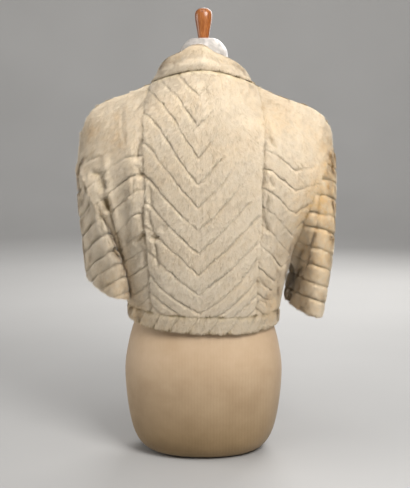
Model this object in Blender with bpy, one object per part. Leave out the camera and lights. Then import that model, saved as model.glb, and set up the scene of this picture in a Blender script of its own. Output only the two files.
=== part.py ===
"""Cream sheared-fur bolero with dropped shoulders and three-quarter sleeves on a limbless dress form.

Metres, +Z up. The origin is the centre of the form's flat base. The back of the garment faces -Y, and its
right side is +X. Each fur panel is one closed wall: a plain inside on the garment's drape surface, and an
outside raised by the pile, with the grooves between the fur strips sunk into it.
"""

import math

import bmesh
import bpy
import numpy as np

# Fur wall
SEAM_GAP = 0.0004  # between two pieces sewn edge to edge
PILE = 0.0095  # skin, lining and pile at the crest of a strip
GROOVE_PILE = 0.0050  # the same at the bottom of a groove
EDGE_PILE = 0.0050  # the same at a sewn edge, where the pile is parted
UNDERARM_PILE = 0.0030  # the same in the tight corner under the arm
STRIP_STEPS = (0.0, 0.2, 0.8)  # groove, rise and fall of the rounded strip, as shares of its pitch
SNAP = 0.004  # a row this near a panel's edge is moved onto it
STEP = 1e-4  # parameter step used to measure slopes of a surface
SLEEVE_COLUMNS = 28

# Fur strips: vertical pitch of the grooves in each kind of panel
CENTRE_PITCH = 0.046
SIDE_PITCH = 0.039
FRONT_PITCH = 0.039
SLEEVE_PITCH = 0.034
BAND_PITCH = 0.035
BAND_SLANT = 0.022  # how far a groove of the hem band leans over the band's height
CAP_FADE = (5.0, 6.2)  # levels between which the grooves fade out towards the shoulder
CAP_GROOVE = 0.35  # share of the groove's depth left on the shoulder

# Zigzag of the grooves: across value, rise in metres
CENTRE_ZIGZAG = ((-0.5, 0.118), (0.0, 0.0), (0.5, 0.118))
SIDE_ZIGZAG = ((0.5, 0.0), (0.82, -0.060), (1.0, -0.025))
FRONT_ZIGZAG = ((0.0, 0.010), (0.5, -0.065), (1.0, 0.0))
SLEEVE_RISE = 0.095  # from the sleeve's outer line to its inner line

# Levels of the body, from the hem to the shoulder seam and neckline
BAND_LEVEL = 1.0
BAND_INSET = 0.006  # in levels, half the gap between the band and the panels above it
TOP_INSET = 0.0022  # in levels, half the gap at the shoulder seam
UNDERARM_LEVEL = 3.0
TOP_LEVEL = 7.0

# Guide lines of the drape surface, one row for each level
CENTRE_BACK = np.array([  # x, y, z
    (0.000, -0.1045, 0.254),
    (0.000, -0.110, 0.287),
    (0.000, -0.118, 0.335),
    (0.000, -0.123, 0.410),
    (0.000, -0.126, 0.485),
    (0.000, -0.124, 0.560),
    (0.000, -0.108, 0.650),
    (0.000, -0.076, 0.726),
])
BACK_SEAM = np.array([  # x, y, z
    (0.089, -0.083, 0.256),
    (0.092, -0.088, 0.288),
    (0.095, -0.096, 0.335),
    (0.100, -0.102, 0.410),
    (0.103, -0.107, 0.485),
    (0.105, -0.108, 0.560),
    (0.107, -0.083, 0.642),
    (0.095, -0.012, 0.710),
])
FRONT_EDGE = np.array([  # x, y, z
    (0.026, 0.105, 0.262),
    (0.027, 0.109, 0.292),
    (0.029, 0.118, 0.335),
    (0.032, 0.133, 0.410),
    (0.035, 0.146, 0.480),
    (0.036, 0.144, 0.545),
    (0.038, 0.120, 0.605),
    (0.042, 0.088, 0.650),
])
FRONT_MIDDLE = np.array([  # x, y, z
    (0.092, 0.084, 0.261),
    (0.094, 0.089, 0.291),
    (0.097, 0.098, 0.335),
    (0.102, 0.112, 0.410),
    (0.106, 0.123, 0.480),
    (0.106, 0.120, 0.550),
    (0.104, 0.083, 0.636),
    (0.095, -0.012, 0.710),
])
ARM_EDGE = np.array([  # x, distance behind or before the arm's middle, z; slope across the panel there
    (0.139, 0.000, 0.261, 0.000, 0.120, 0.000),
    (0.141, 0.000, 0.290, 0.000, 0.120, 0.000),
    (0.147, 0.000, 0.325, 0.000, 0.130, 0.000),
    (0.163, 0.000, 0.378, 0.020, 0.130, -0.005),
    (0.179, 0.050, 0.432, 0.110, 0.090, -0.050),
    (0.198, 0.078, 0.490, 0.140, 0.030, -0.060),
    (0.218, 0.061, 0.548, 0.120, 0.030, -0.120),
    (0.236, 0.000, 0.583, 0.030, 0.000, -0.300),
])
NECK_SLOPE_BACK = (0.030, 0.085, -0.030)  # slope of the back neckline where it meets the shoulder
NECK_SLOPE_FRONT = (0.045, -0.115, 0.012)  # slope of the front neckline there
SHOULDER_SLOPE = (0.280, 0.010, -0.150)  # slope of the shoulder seam there
ARM_LIFT = {"left": -0.018, "right": 0.020}  # how much lower or higher the cap ends on each side
ARM_OUT = {"left": -0.001, "right": 0.005}  # how much nearer or further out it ends
CAP_SQUARE = {"left": 1.30, "right": 0.88}  # how squarely it turns down there
TILT = 0.020  # the garment hangs a little lower on its right, in metres per metre
HEM_TILT = 0.020  # and its hem a little more

# Large folds: across value, level, half width across, half height in levels, height out of the surface
BACK_FOLDS = {
    "left": (
        (0.62, 4.4, 0.09, 1.1, 0.007),
        (0.52, 4.6, 0.06, 1.6, -0.006),
        (0.60, 3.0, 0.10, 0.35, -0.005),
        (0.86, 3.6, 0.10, 0.9, 0.006),
    ),
    "right": (
        (0.60, 4.3, 0.08, 1.2, 0.006),
        (0.52, 4.5, 0.06, 1.5, -0.006),
        (0.84, 4.0, 0.12, 1.0, 0.006),
        (0.70, 1.6, 0.12, 0.4, -0.004),
    ),
}
FRONT_FOLDS = (
    (0.70, 3.4, 0.12, 1.0, 0.006),
    (0.90, 3.0, 0.10, 0.8, -0.004),
)

# Sleeves. The four stations round a sleeve are its outer line, front, inner line and back.
CUFFS = {  # centre x, y, z; half length, half width; turn in degrees; rise of the front end and outer line
    "left": (-0.189, 0.008, 0.320, 0.078, 0.020, 19.0, 0.008, 0.012),
    "right": (0.194, 0.000, 0.286, 0.081, 0.022, -11.0, 0.006, -0.004),
}
SLEEVE_START = np.array([  # how the sleeve leaves the armhole at each station: outwards, forwards, up
    (0.016, 0.000, -0.100),
    (0.020, 0.002, -0.070),
    (0.034, 0.000, -0.014),
    (0.020, -0.002, -0.070),
])
SLEEVE_OUT = {"left": -0.010, "right": 0.004}  # added to the outward part of the outer line's start
SLEEVE_END = np.array([  # how it arrives at the cuff
    (-0.022, 0.000, -0.095),
    (-0.004, 0.000, -0.075),
    (-0.008, 0.000, -0.045),
    (-0.004, 0.000, -0.075),
])
SLEEVE_FOLDS = {  # angle in degrees, share of the length, half angle, half share, height
    "left": (
        (330.0, 0.10, 60.0, 0.07, 0.005),
        (262.0, 0.30, 32.0, 0.13, -0.010),
        (100.0, 0.35, 40.0, 0.15, -0.007),
    ),
    "right": (
        (262.0, 0.45, 22.0, 0.26, -0.007),
        (310.0, 0.50, 30.0, 0.30, 0.004),
        (95.0, 0.35, 40.0, 0.15, -0.007),
    ),
}

# Collar
COLLAR_LEAN = math.radians(31)  # it leans in towards the neck
FRONT_LEAN = math.radians(12)  # and less so at its front ends
COLLAR_END = 0.98  # the collar stops this far round the front neckline
COLLAR_SKEW = 1.8  # it stands higher on its left, as a share per metre
COLLAR_TUCK = 0.007  # how far its sides and fronts are tucked in towards the neck
COLLAR_SECTION = (  # out from the stand line, up along it, as the section is walked round
    (0.0125, 0.0060),
    (0.0150, 0.0150),
    (0.0145, 0.0260),
    (0.0110, 0.0360),
    (0.0045, 0.0420),
    (-0.0020, 0.0380),
    (-0.0045, 0.0260),
    (-0.0040, 0.0120),
)

# Dress form
FORM_SEGMENTS = 36
FORM_RINGS = np.array([  # height, half width, depth behind, depth in front, y of the widest line, side pinch
    (0.000, 0.1000, 0.0720, 0.066, 0.000, 0.92),
    (0.003, 0.1100, 0.0820, 0.075, 0.000, 0.92),
    (0.012, 0.1225, 0.0940, 0.086, 0.000, 0.92),
    (0.030, 0.1345, 0.1040, 0.094, 0.000, 0.92),
    (0.060, 0.1440, 0.1110, 0.100, 0.000, 0.92),
    (0.110, 0.1515, 0.1170, 0.104, 0.000, 0.92),
    (0.165, 0.1540, 0.1180, 0.103, 0.000, 0.92),
    (0.215, 0.1465, 0.1100, 0.098, 0.000, 0.92),
    (0.258, 0.1345, 0.0965, 0.090, 0.000, 0.92),
    (0.310, 0.1210, 0.0830, 0.084, 0.000, 0.92),
    (0.360, 0.1150, 0.0780, 0.083, 0.000, 0.92),
    (0.420, 0.1210, 0.0840, 0.094, 0.000, 0.92),
    (0.480, 0.1340, 0.0940, 0.112, 0.000, 0.92),
    (0.530, 0.1440, 0.1010, 0.117, 0.000, 0.92),
    (0.580, 0.1500, 0.1040, 0.100, 0.000, 0.92),
    (0.620, 0.1520, 0.0900, 0.074, -0.002, 0.95),
    (0.650, 0.1520, 0.0690, 0.056, -0.005, 1.05),
    (0.668, 0.1490, 0.0570, 0.045, -0.008, 1.25),
    (0.6815, 0.1390, 0.0500, 0.039, -0.011, 1.50),
    (0.6935, 0.1170, 0.0470, 0.037, -0.012, 1.75),
    (0.7038, 0.0865, 0.0460, 0.037, -0.012, 1.60),
    (0.714, 0.0620, 0.0455, 0.039, -0.007, 1.20),
    (0.728, 0.0495, 0.0455, 0.042, -0.002, 1.00),
    (0.750, 0.0475, 0.0465, 0.046, 0.000, 0.92),
])
ROUNDNESS = 0.92  # below 1 a ring is a little squarer than an ellipse
NECK_RINGS = (
    (0.7503, 0.0470),
    (0.763, 0.0467),
    (0.773, 0.0450),
    (0.782, 0.0405),
    (0.790, 0.0335),
    (0.7950, 0.0270),
    (0.7965, 0.0220),
)
KNOB_RINGS = (
    (0.7968, 0.0095),
    (0.800, 0.0103),
    (0.815, 0.0128),
    (0.830, 0.0155),
    (0.840, 0.0162),
    (0.847, 0.0145),
    (0.8515, 0.0095),
    (0.8530, 0.0035),
)
KNOB_SEGMENTS = 20

# Finishes: name, colour, roughness
FUR = ("ivory_sheared_fur", (0.74, 0.64, 0.48), 0.9)
JERSEY = ("beige_cotton_jersey", (0.58, 0.42, 0.26), 0.8)
COTTON = ("white_neck_cover", (0.80, 0.80, 0.81), 0.6)
WOOD = ("turned_beech", (0.42, 0.15, 0.05), 0.45)


def through(rows, level):
    """Smooth curve through table rows, a Catmull-Rom spline, at each level; whole levels are the rows."""
    rows = np.vstack((2 * rows[0] - rows[1], rows, 2 * rows[-1] - rows[-2]))
    level = np.clip(np.asarray(level, float), 0.0, len(rows) - 3.0)
    row = np.minimum(level.astype(int), len(rows) - 4)
    t = (level - row)[..., None]
    a, b, c, d = (rows[row + k] for k in range(4))
    return 0.5 * (2 * b + (c - a) * t + (2 * a - 5 * b + 4 * c - d) * t**2 + (3 * b - a - 3 * c + d) * t**3)


def hermite(start, start_slope, end, end_slope, t):
    """Cubic from start to end that leaves and arrives with the given slopes."""
    t = t[..., None]
    return (
        start * (2 * t**3 - 3 * t**2 + 1)
        + start_slope * (t**3 - 2 * t**2 + t)
        + end * (3 * t**2 - 2 * t**3)
        + end_slope * (t**3 - t**2)
    )


def unit(vectors):
    return vectors / np.linalg.norm(vectors, axis=-1, keepdims=True)


def ease(value, low, high):
    """0 below low, 1 above high, smooth between."""
    t = np.clip((np.asarray(value, float) - low) / (high - low), 0.0, 1.0)
    return t * t * (3 - 2 * t)


def sign_of(side):
    return 1.0 if side == "right" else -1.0


def arm_edge(face, side):
    """The armhole and side-seam guide of one face on one side, with its slopes."""
    rows = ARM_EDGE.copy()
    forwards = -1.0 if face == "back" else 1.0
    rows[:, 1] *= forwards
    rows[:, 4] *= -forwards
    share = np.clip((np.arange(len(rows)) - UNDERARM_LEVEL) / (TOP_LEVEL - UNDERARM_LEVEL), 0.0, 1.0)
    rows[:, 0] += ARM_OUT[side] * share
    rows[:, 2] += ARM_LIFT[side] * share
    rows[-1, 3:] *= CAP_SQUARE[side]
    return rows


def guides(face, side):
    """Inner, middle and arm guides of half a face, and the slopes across at each."""
    inner, middle = (CENTRE_BACK, BACK_SEAM) if face == "back" else (FRONT_EDGE, FRONT_MIDDLE)
    arm = arm_edge(face, side)
    before = inner * (-1, 1, 1) if face == "back" else inner
    slope = (arm[:, :3] - before) / 2
    neck_side, shoulder_side = slope.copy(), slope.copy()
    neck_side[-1] = NECK_SLOPE_BACK if face == "back" else NECK_SLOPE_FRONT
    shoulder_side[-1] = SHOULDER_SLOPE
    if face == "back":
        inner_slope = (middle - inner) * (1.25, 0, 0)
    else:
        inner_slope = (middle - inner) * (1.2, 0.7, 0.7)
    return inner, inner_slope, middle, neck_side, shoulder_side, arm[:, :3], arm[:, 3:]


def drape(face, side, across, level):
    """Smooth drape surface. Across is 0 at the centre line, 0.5 at the panel seam and 1 at the arm."""
    across, level = np.broadcast_arrays(np.asarray(across, float), np.asarray(level, float))
    inner, inner_slope, middle, neck_side, shoulder_side, arm, arm_slope = (
        through(rows, level) for rows in guides(face, side)
    )
    arm[..., 1] = np.where(level > UNDERARM_LEVEL, arm[..., 1], 0.0)
    near = hermite(inner, inner_slope, middle, neck_side, np.clip(across * 2, 0, 1))
    far = hermite(middle, shoulder_side, arm, arm_slope, np.clip(across * 2 - 1, 0, 1))
    points = np.where((across < 0.5)[..., None], near, far)
    return hang(points * (sign_of(side), 1, 1), level)


def hang(points, level):
    """The garment's slight tilt on the form, greater at the hem."""
    points = points.copy()
    points[..., 2] -= points[..., 0] * (TILT + HEM_TILT * (1 - ease(level, 0.0, UNDERARM_LEVEL)))
    return points


def slopes(surface, first, second):
    """Slopes of a surface along its two parameters, by small steps kept inside it."""
    along_first = surface(first + STEP, second) - surface(first - STEP, second)
    along_second = surface(first, second + STEP) - surface(first, second - STEP)
    return along_first, along_second


def face_normal(face, side, across, level):
    """Outward normal of one face's drape surface."""
    across = np.clip(across, STEP, 1 - STEP)
    level = np.clip(level, STEP, TOP_LEVEL - STEP)
    along, up = slopes(lambda a, b: drape(face, side, a, b), across, level)
    turn = sign_of(side) * (1.0 if face == "back" else -1.0)
    return unit(np.cross(along, up) * turn)


def fold_height(folds, across, level):
    """Soft bumps and hollows, each a bell shape in both directions."""
    height = np.zeros(np.broadcast(across, level).shape)
    for centre, middle, half_across, half_level, rise in folds:
        distance = ((across - centre) / half_across) ** 2 + ((level - middle) / half_level) ** 2
        height = height + rise * np.exp(-distance)
    return height


def sleeve_loop(angle):
    """Body level of each angle of the armhole loop, which is 0 at the cap and 180 degrees under the arm."""
    share = np.where(angle <= 180, angle / 180, (360 - angle) / 180)
    return TOP_LEVEL - share * (TOP_LEVEL - UNDERARM_LEVEL)


def round_trip(stations, angle):
    """Smooth values round a sleeve from its four stations."""
    outer, front, inner, back = stations
    turn = np.radians(angle)[..., None]
    mean = (outer + front + inner + back) / 4
    twice = (outer - front + inner - back) / 4
    once = (outer - inner) / 2 * np.cos(turn) + (front - back) / 2 * np.sin(turn)
    return mean + once + twice * np.cos(2 * turn)


def cuff_ring(side, angle):
    """Oval cuff, turned about the vertical and tipped along its length."""
    x, y, z, half_length, half_width, turn, rise, outer_rise = CUFFS[side]
    turn = math.radians(turn)
    ahead = np.array((math.sin(turn) * sign_of(side), math.cos(turn), 0.0))
    out = np.array((math.cos(turn) * sign_of(side), -math.sin(turn), 0.0))
    angle = np.radians(angle)[..., None]
    ring = np.array((x, y, z)) + out * half_width * np.cos(angle) + ahead * half_length * np.sin(angle)
    ring[..., 2] += (rise * np.sin(angle) + outer_rise * np.cos(angle))[..., 0]
    return ring


def sleeve(side, angle, share):
    """Sleeve surface: a cubic from each point of the armhole loop down to its point of the cuff."""
    angle, share = np.broadcast_arrays(np.asarray(angle, float), np.asarray(share, float))
    angle = angle % 360
    level = sleeve_loop(angle)
    front = through(arm_edge("front", side)[:, :3], level)
    back = through(arm_edge("back", side)[:, :3], level)
    start = hang(np.where((angle <= 180)[..., None], front, back) * (sign_of(side), 1, 1), level)
    end = cuff_ring(side, angle)
    leave = round_trip(SLEEVE_START, angle)
    leave[..., 0] += SLEEVE_OUT[side] * np.clip(np.cos(np.radians(angle)), 0, 1)
    leave = leave * (sign_of(side), 1, 1)
    arrive = round_trip(SLEEVE_END, angle) * (sign_of(side), 1, 1)
    return hermite(start, 3 * leave, end, 3 * arrive, share)


def sleeve_normal(side, angle, share):
    share = np.clip(share, STEP, 1 - STEP)
    along, down = slopes(lambda a, b: sleeve(side, a, b), np.asarray(angle, float), share)
    return unit(np.cross(along, down) * -sign_of(side))


def arm_normal(face, side, level):
    """Direction of the pile where a body panel meets the sleeve, between the two surfaces' normals."""
    share = (TOP_LEVEL - np.asarray(level, float)) / (TOP_LEVEL - UNDERARM_LEVEL)
    angle = np.where(face == "front", 180 * share, 360 - 180 * share)
    body = face_normal(face, side, np.ones_like(share), level)
    return unit(body + sleeve_normal(side, angle, np.zeros_like(share)))


def panel_normal(face, side, across, level):
    """Normal of one face, shared by the two panels that meet at across 0.5."""
    own = face_normal(face, side, across, level)
    both = face_normal(face, side, 0.5 - 2 * STEP, level) + face_normal(face, side, 0.5 + 2 * STEP, level)
    return unit(own + (unit(both) - own) * (1 - ease(np.abs(across - 0.5), 0.0, 0.05))[..., None])


def pile_direction(face, side, across, level):
    """Direction in which the pile stands: the normal, shared with the neighbour along sewn edges."""
    across, level = np.broadcast_arrays(np.asarray(across, float), np.asarray(level, float))
    other = "front" if face == "back" else "back"
    own = panel_normal(face, side, across, level)
    at_shoulder = (ease(level, TOP_LEVEL - 0.5, TOP_LEVEL) * ease(across, 0.40, 0.5))[..., None]
    at_side = (ease(across, 0.9, 1.0) * (1 - ease(level, UNDERARM_LEVEL - 0.3, UNDERARM_LEVEL)))[..., None]
    shared = unit(own + panel_normal(other, side, np.maximum(across, 0.5), level))
    direction = own + (shared - own) * np.maximum(at_shoulder, at_side)
    at_arm = (ease(across, 0.88, 1.0) * ease(level, UNDERARM_LEVEL - 0.3, UNDERARM_LEVEL))[..., None]
    arm = arm_normal(face, side, np.maximum(level, UNDERARM_LEVEL))
    return unit(direction + (arm - direction) * at_arm)


def zip_edges(faces, first, first_places, second, second_places):
    """Triangles between two edges whose points lie at different places along them."""
    i = j = 0
    while i < len(first) - 1 or j < len(second) - 1:
        first_next = i < len(first) - 1 and (
            j == len(second) - 1 or first_places[i + 1] <= second_places[j + 1] + 1e-9
        )
        if first_next:
            faces.append((first[i], first[i + 1], second[j]))
            i += 1
        else:
            faces.append((first[i], second[j + 1], second[j]))
            j += 1


def distinct(ids):
    return list(dict.fromkeys(ids))


def wall(name, outer, outer_across, outer_up, inner, inner_across, inner_up, edges=None):
    """One closed fur wall from an outer grid of rows by columns and a plain inner grid, rims zipped between.

    Rows of the outer grid that were moved onto the same place of a column share one point there. Edges are
    the points and heights of the two side edges, beside the first and last columns. Without them the wall is
    a tube.
    """
    rows, columns = outer.shape[:2]
    ids = np.zeros((rows, columns), int)
    points = []
    for column in range(columns):
        for row in range(rows):
            same = row > 0 and abs(outer_up[row, column] - outer_up[row - 1, column]) < 1e-9
            if not same:
                points.append(outer[row, column])
            ids[row, column] = len(points) - 1
    inner_ids = np.arange(inner.shape[0] * inner.shape[1]).reshape(inner.shape[:2]) + len(points)
    points.extend(inner.reshape(-1, 3))

    tube = edges is None
    faces = []
    for grid in (ids, inner_ids):
        spans = grid.shape[1] if tube else grid.shape[1] - 1
        for column in range(spans):
            after = (column + 1) % grid.shape[1]
            for row in range(grid.shape[0] - 1):
                ring = grid[row, column], grid[row, after], grid[row + 1, after], grid[row + 1, column]
                corners = distinct(ring)
                if len(corners) > 2:
                    faces.append(corners)

    low, high = list(ids[0]), list(ids[-1])
    low_inner, high_inner = list(inner_ids[0]), list(inner_ids[-1])
    places, inner_places = list(outer_across), list(inner_across)
    if tube:
        for edge in (low, high, low_inner, high_inner):
            edge.append(edge[0])
        places.append(places[0] + 360)
        inner_places.append(inner_places[0] + 360)
    else:
        sides = []
        for column, (edge_points, edge_up) in zip((0, -1), edges):
            edge = list(range(len(points), len(points) + len(edge_points)))
            points.extend(edge_points)
            sides.append(edge)
            beside = distinct(ids[:, column])
            heights = np.unique(outer_up[:, column].round(10))
            zip_edges(faces, beside, heights, edge, edge_up)
            zip_edges(faces, edge, edge_up, list(inner_ids[:, column]), list(inner_up))
        low = [sides[0][0], *low, sides[1][0]]
        high = [sides[0][-1], *high, sides[1][-1]]
        places = [inner_places[0], *places, inner_places[-1]]
    zip_edges(faces, low, places, low_inner, inner_places)
    zip_edges(faces, high, places, high_inner, inner_places)
    return add_object(name, FUR, np.array(points), faces)


def add_object(name, finish, points, faces):
    """A mesh object with its faces turned outwards and its own material."""
    mesh = bpy.data.meshes.new(name)
    mesh.from_pydata([tuple(map(float, p)) for p in points], [], [tuple(map(int, f)) for f in faces])
    work = bmesh.new()
    work.from_mesh(mesh)
    bmesh.ops.recalc_face_normals(work, faces=work.faces)
    work.to_mesh(mesh)
    work.free()
    mesh.shade_smooth()
    mesh.set_sharp_from_angle(angle=math.radians(40))
    mesh.materials.append(material(*finish))
    obj = bpy.data.objects.new(name, mesh)
    bpy.context.scene.collection.objects.link(obj)
    return obj


def material(name, colour, roughness):
    found = bpy.data.materials.get(name)
    if found:
        return found
    made = bpy.data.materials.new(name)
    made.use_nodes = True
    shader = made.node_tree.nodes["Principled BSDF"]
    shader.inputs["Base Color"].default_value = (*colour, 1.0)
    shader.inputs["Roughness"].default_value = roughness
    return made


def strip_rows(pitch, zigzag, lengths):
    """Groove-following rows of a panel: height of every row in every column, and its share of a strip."""
    lowest = math.floor((0 - zigzag.max()) / pitch)
    highest = math.ceil((lengths.max() - zigzag.min()) / pitch)
    places = np.array([k + step for k in range(lowest, highest + 1) for step in STRIP_STEPS])
    heights = places[:, None] * pitch + zigzag[None, :]
    heights = np.where(heights < SNAP, 0.0, heights)
    heights = np.where(heights > lengths - SNAP, lengths, heights)
    in_groove = np.isclose(places % 1.0, 0.0)
    used = (heights > 0).any(1) & (heights < lengths).any(1)
    first, last = np.flatnonzero(used)[[0, -1]]
    keep = slice(max(first - 1, 0), last + 2)
    return heights[keep], in_groove[keep]


def body_panel(name, face, side, columns, zigzag_knots, pitch, folds, edge_levels):
    """One fur panel of the body from the band to the neckline or shoulder; side may be both for the back."""
    low, high = BAND_LEVEL + BAND_INSET, TOP_LEVEL - TOP_INSET

    def sided(function, across, level):
        if side != "both":
            return function(face, side, across, level)
        left, right = (function(face, half, np.abs(across), level) for half in ("left", "right"))
        return np.where((across < 0)[..., None], left, right)

    def placed(across, level, pile):
        across, level = np.broadcast_arrays(across, level)
        lift = fold_height(folds, across, level) * (1 - ease(np.abs(across), 0.90, 1.0))
        lift = lift * ease(level, low, low + 0.8) * (1 - ease(level, high - 0.8, high))
        return sided(drape, across, level) + sided(pile_direction, across, level) * (lift + pile)[..., None]

    inside = columns[1:-1]
    levels = np.linspace(low, high, 120)
    path = sided(drape, *np.broadcast_arrays(inside[None, :], levels[:, None]))
    steps = np.linalg.norm(np.diff(path, axis=0), axis=2)
    lengths = np.vstack((np.zeros(len(inside)), np.cumsum(steps, axis=0)))
    knots = np.array(zigzag_knots)
    heights, in_groove = strip_rows(pitch, np.interp(inside, knots[:, 0], knots[:, 1]), lengths[-1])
    level = np.stack([np.interp(heights[:, c], lengths[:, c], levels) for c in range(len(inside))], axis=1)

    faded = 1 - (1 - CAP_GROOVE) * ease(level, *CAP_FADE) * (side != "both")
    pile = np.where(in_groove[:, None], PILE - (PILE - GROOVE_PILE) * faded, PILE)
    pile = np.where((heights <= 0) | (heights >= lengths[-1]), EDGE_PILE, pile)
    outer = placed(inside, level, pile)

    edges = []
    for across, edge_level in zip(columns[[0, -1]], edge_levels):
        edge_level = np.clip(edge_level, low, high)
        near_arm = (abs(across) > 0.98) * (1 - ease(np.abs(edge_level - UNDERARM_LEVEL), 0.2, 1.0))
        edge_pile = EDGE_PILE + (UNDERARM_PILE - EDGE_PILE) * near_arm
        edges.append((placed(np.full(edge_level.shape, across), edge_level, edge_pile), edge_level))

    inner_levels = np.clip(ARM_LEVELS, low, high)
    inner = placed(columns[None, :], inner_levels[:, None], np.zeros((len(inner_levels), len(columns))))
    return wall(name, outer, inside, level, inner, columns, inner_levels, edges)


def seam_columns(low, high, middle):
    """Columns of a panel between two seams, with a narrow one inside each edge where the pile turns down."""
    inset, turn = SEAM_GAP / 2 / 0.22, 0.030
    return np.array([low + inset, low + turn, *middle, high - turn, high - inset])


CENTRE_COLUMNS = seam_columns(-0.5, 0.5, (-0.40, -0.31, -0.21, -0.11, 0.0, 0.11, 0.21, 0.31, 0.40))
SIDE_COLUMNS = seam_columns(0.5, 1.0, (0.60, 0.68, 0.75, 0.82, 0.90))
FRONT_COLUMNS = seam_columns(0.0, 1.0, (0.10, 0.20, 0.30, 0.40, 0.50, 0.60, 0.68, 0.75, 0.82, 0.90))
SEAM_LEVELS = np.linspace(BAND_LEVEL, TOP_LEVEL, 25)
ARM_LEVELS = np.concatenate((
    np.linspace(BAND_LEVEL, UNDERARM_LEVEL, 5)[:-1],
    np.linspace(UNDERARM_LEVEL, TOP_LEVEL, SLEEVE_COLUMNS // 2 + 1),
))


def body_panels():
    seams = SEAM_LEVELS, SEAM_LEVELS
    body_panel("back_centre", "back", "both", CENTRE_COLUMNS, CENTRE_ZIGZAG, CENTRE_PITCH, (), seams)
    seams = SEAM_LEVELS, ARM_LEVELS
    for side in ("left", "right"):
        name = f"back_side_{side}"
        body_panel(name, "back", side, SIDE_COLUMNS, SIDE_ZIGZAG, SIDE_PITCH, BACK_FOLDS[side], seams)
        name = f"front_{side}"
        body_panel(name, "front", side, FRONT_COLUMNS, FRONT_ZIGZAG, FRONT_PITCH, FRONT_FOLDS, seams)


def sleeve_tube(side):
    """A three-quarter sleeve: a tube from the armhole to the cuff; its strips rise towards the inner line."""
    count = SLEEVE_COLUMNS
    angles = np.arange(count) * 360.0 / count
    levels = sleeve_loop(angles)
    faces = np.where(angles <= 180, "front", "back")
    seam = np.array([arm_normal(f, side, np.array(level)) for f, level in zip(faces, levels)])
    shares = np.linspace(0, 1, 60)
    path = sleeve(side, angles[None, :], shares[:, None])
    steps = np.linalg.norm(np.diff(path, axis=0), axis=2)
    down = np.vstack((np.zeros(count), np.cumsum(steps, axis=0)))
    length = down[-1]
    to_inner = np.where(angles <= 180, angles, 360 - angles) / 180
    heights, in_groove = strip_rows(SLEEVE_PITCH, SLEEVE_RISE * to_inner, length)
    share = np.stack([np.interp(length[c] - heights[:, c], down[:, c], shares) for c in range(count)], axis=1)

    first = path[0]
    tangent = unit(np.roll(first, -1, axis=0) - np.roll(first, 1, axis=0))
    away = np.cross(tangent, seam)
    away = away * np.sign((away * (path[3] - first)).sum(1))[:, None]
    shift = unit(away) * SEAM_GAP * 1.25

    def placed(angle_grid, share_grid, pile_grid):
        at_seam = (1 - ease(share_grid, 0.0, 0.12))[..., None]
        own = sleeve_normal(side, angle_grid, share_grid)
        direction = unit(own + (seam - own) * at_seam)
        folds = SLEEVE_FOLDS[side]
        lift = fold_height(folds, angle_grid, share_grid) + fold_height(folds, angle_grid + 360, share_grid)
        lift = lift * ease(share_grid, 0.0, 0.08)
        base = sleeve(side, angle_grid, share_grid) + shift * at_seam
        return base + direction * (lift + pile_grid)[..., None]

    edge = (heights <= 0) | (heights >= length)
    pile = np.where(in_groove[:, None], GROOVE_PILE, PILE)
    tight = UNDERARM_PILE + (EDGE_PILE - UNDERARM_PILE) * ease(np.abs(angles - 180), 30, 80)
    pile = np.where(edge, np.where(heights >= length, tight, EDGE_PILE), pile)
    inner_side = 1 - 0.35 * (1 - ease(np.abs(angles - 180), 35, 80))
    pile = np.where(edge, pile, pile * inner_side)
    outer = placed(np.broadcast_to(angles, share.shape), share, pile)
    inner_shares = np.array((1.0, 0.75, 0.5, 0.3, 0.12, 0.0))
    grid = np.broadcast_arrays(angles[None, :], inner_shares[:, None])
    inner = placed(*grid, np.zeros(grid[0].shape))
    return wall(f"sleeve_{side}", outer, angles, heights, inner, angles, inner_shares)


def around_body(place):
    """Face, side and across value of a place round the body: 0 centre back, 1 side seams, 2 front edges."""
    reach = abs(place)
    side = "right" if place >= 0 else "left"
    return ("back", side, reach) if reach <= 1 else ("front", side, 2 - reach)


def hem_band():
    """A narrow fur strip round the hem, with slanted grooves, from one front edge to the other."""
    reach = 2.0
    fine = np.linspace(-reach, reach, 400)
    low, high = 0.0, BAND_LEVEL - BAND_INSET
    middle = np.array([drape(*around_body(p), np.array(0.5)) for p in fine])
    run = np.concatenate(([0], np.cumsum(np.linalg.norm(np.diff(middle, axis=0), axis=1))))
    count = round(run[-1] / BAND_PITCH)
    steps = [k + step for k in range(count) for step in STRIP_STEPS] + [count]
    shares = np.array(steps) / count * run[-1]
    heights = np.array((0.0, 0.22, 0.5, 0.78, 1.0))
    profile = np.array((0.0, 0.85, 1.0, 0.85, 0.0))
    lean = np.minimum(1.0, np.minimum(shares, run[-1] - shares) / 0.05)
    outer = np.zeros((len(heights), len(shares), 3))
    for row, (height, swell) in enumerate(zip(heights, profile)):
        places = np.interp(shares + BAND_SLANT * (height - 0.5) * lean, run, fine)
        for column, place in enumerate(places):
            level = np.array(low + (high - low) * height)
            groove = column % len(STRIP_STEPS) == 0
            crest = GROOVE_PILE + 0.001 if groove else PILE
            pile = EDGE_PILE + (crest - EDGE_PILE) * swell
            where = around_body(place)
            outer[row, column] = drape(*where, level) + pile_direction(*where, level) * pile
    coarse = np.unique(np.append(np.arange(0, len(shares), 3), len(shares) - 1))
    inner = np.zeros((2, len(coarse), 3))
    for row, height in enumerate((0.0, 1.0)):
        places = np.interp(shares[coarse] + BAND_SLANT * (height - 0.5) * lean[coarse], run, fine)
        for column, place in enumerate(places):
            inner[row, column] = drape(*around_body(place), np.array(low + (high - low) * height))
    up = np.broadcast_to(heights[:, None], outer.shape[:2])[:, 1:-1]
    edges = (outer[:, 0], heights), (outer[:, -1], heights)
    return wall("hem_band", outer[:, 1:-1], shares[1:-1], up, inner, shares[coarse], (0.0, 1.0), edges)


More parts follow.
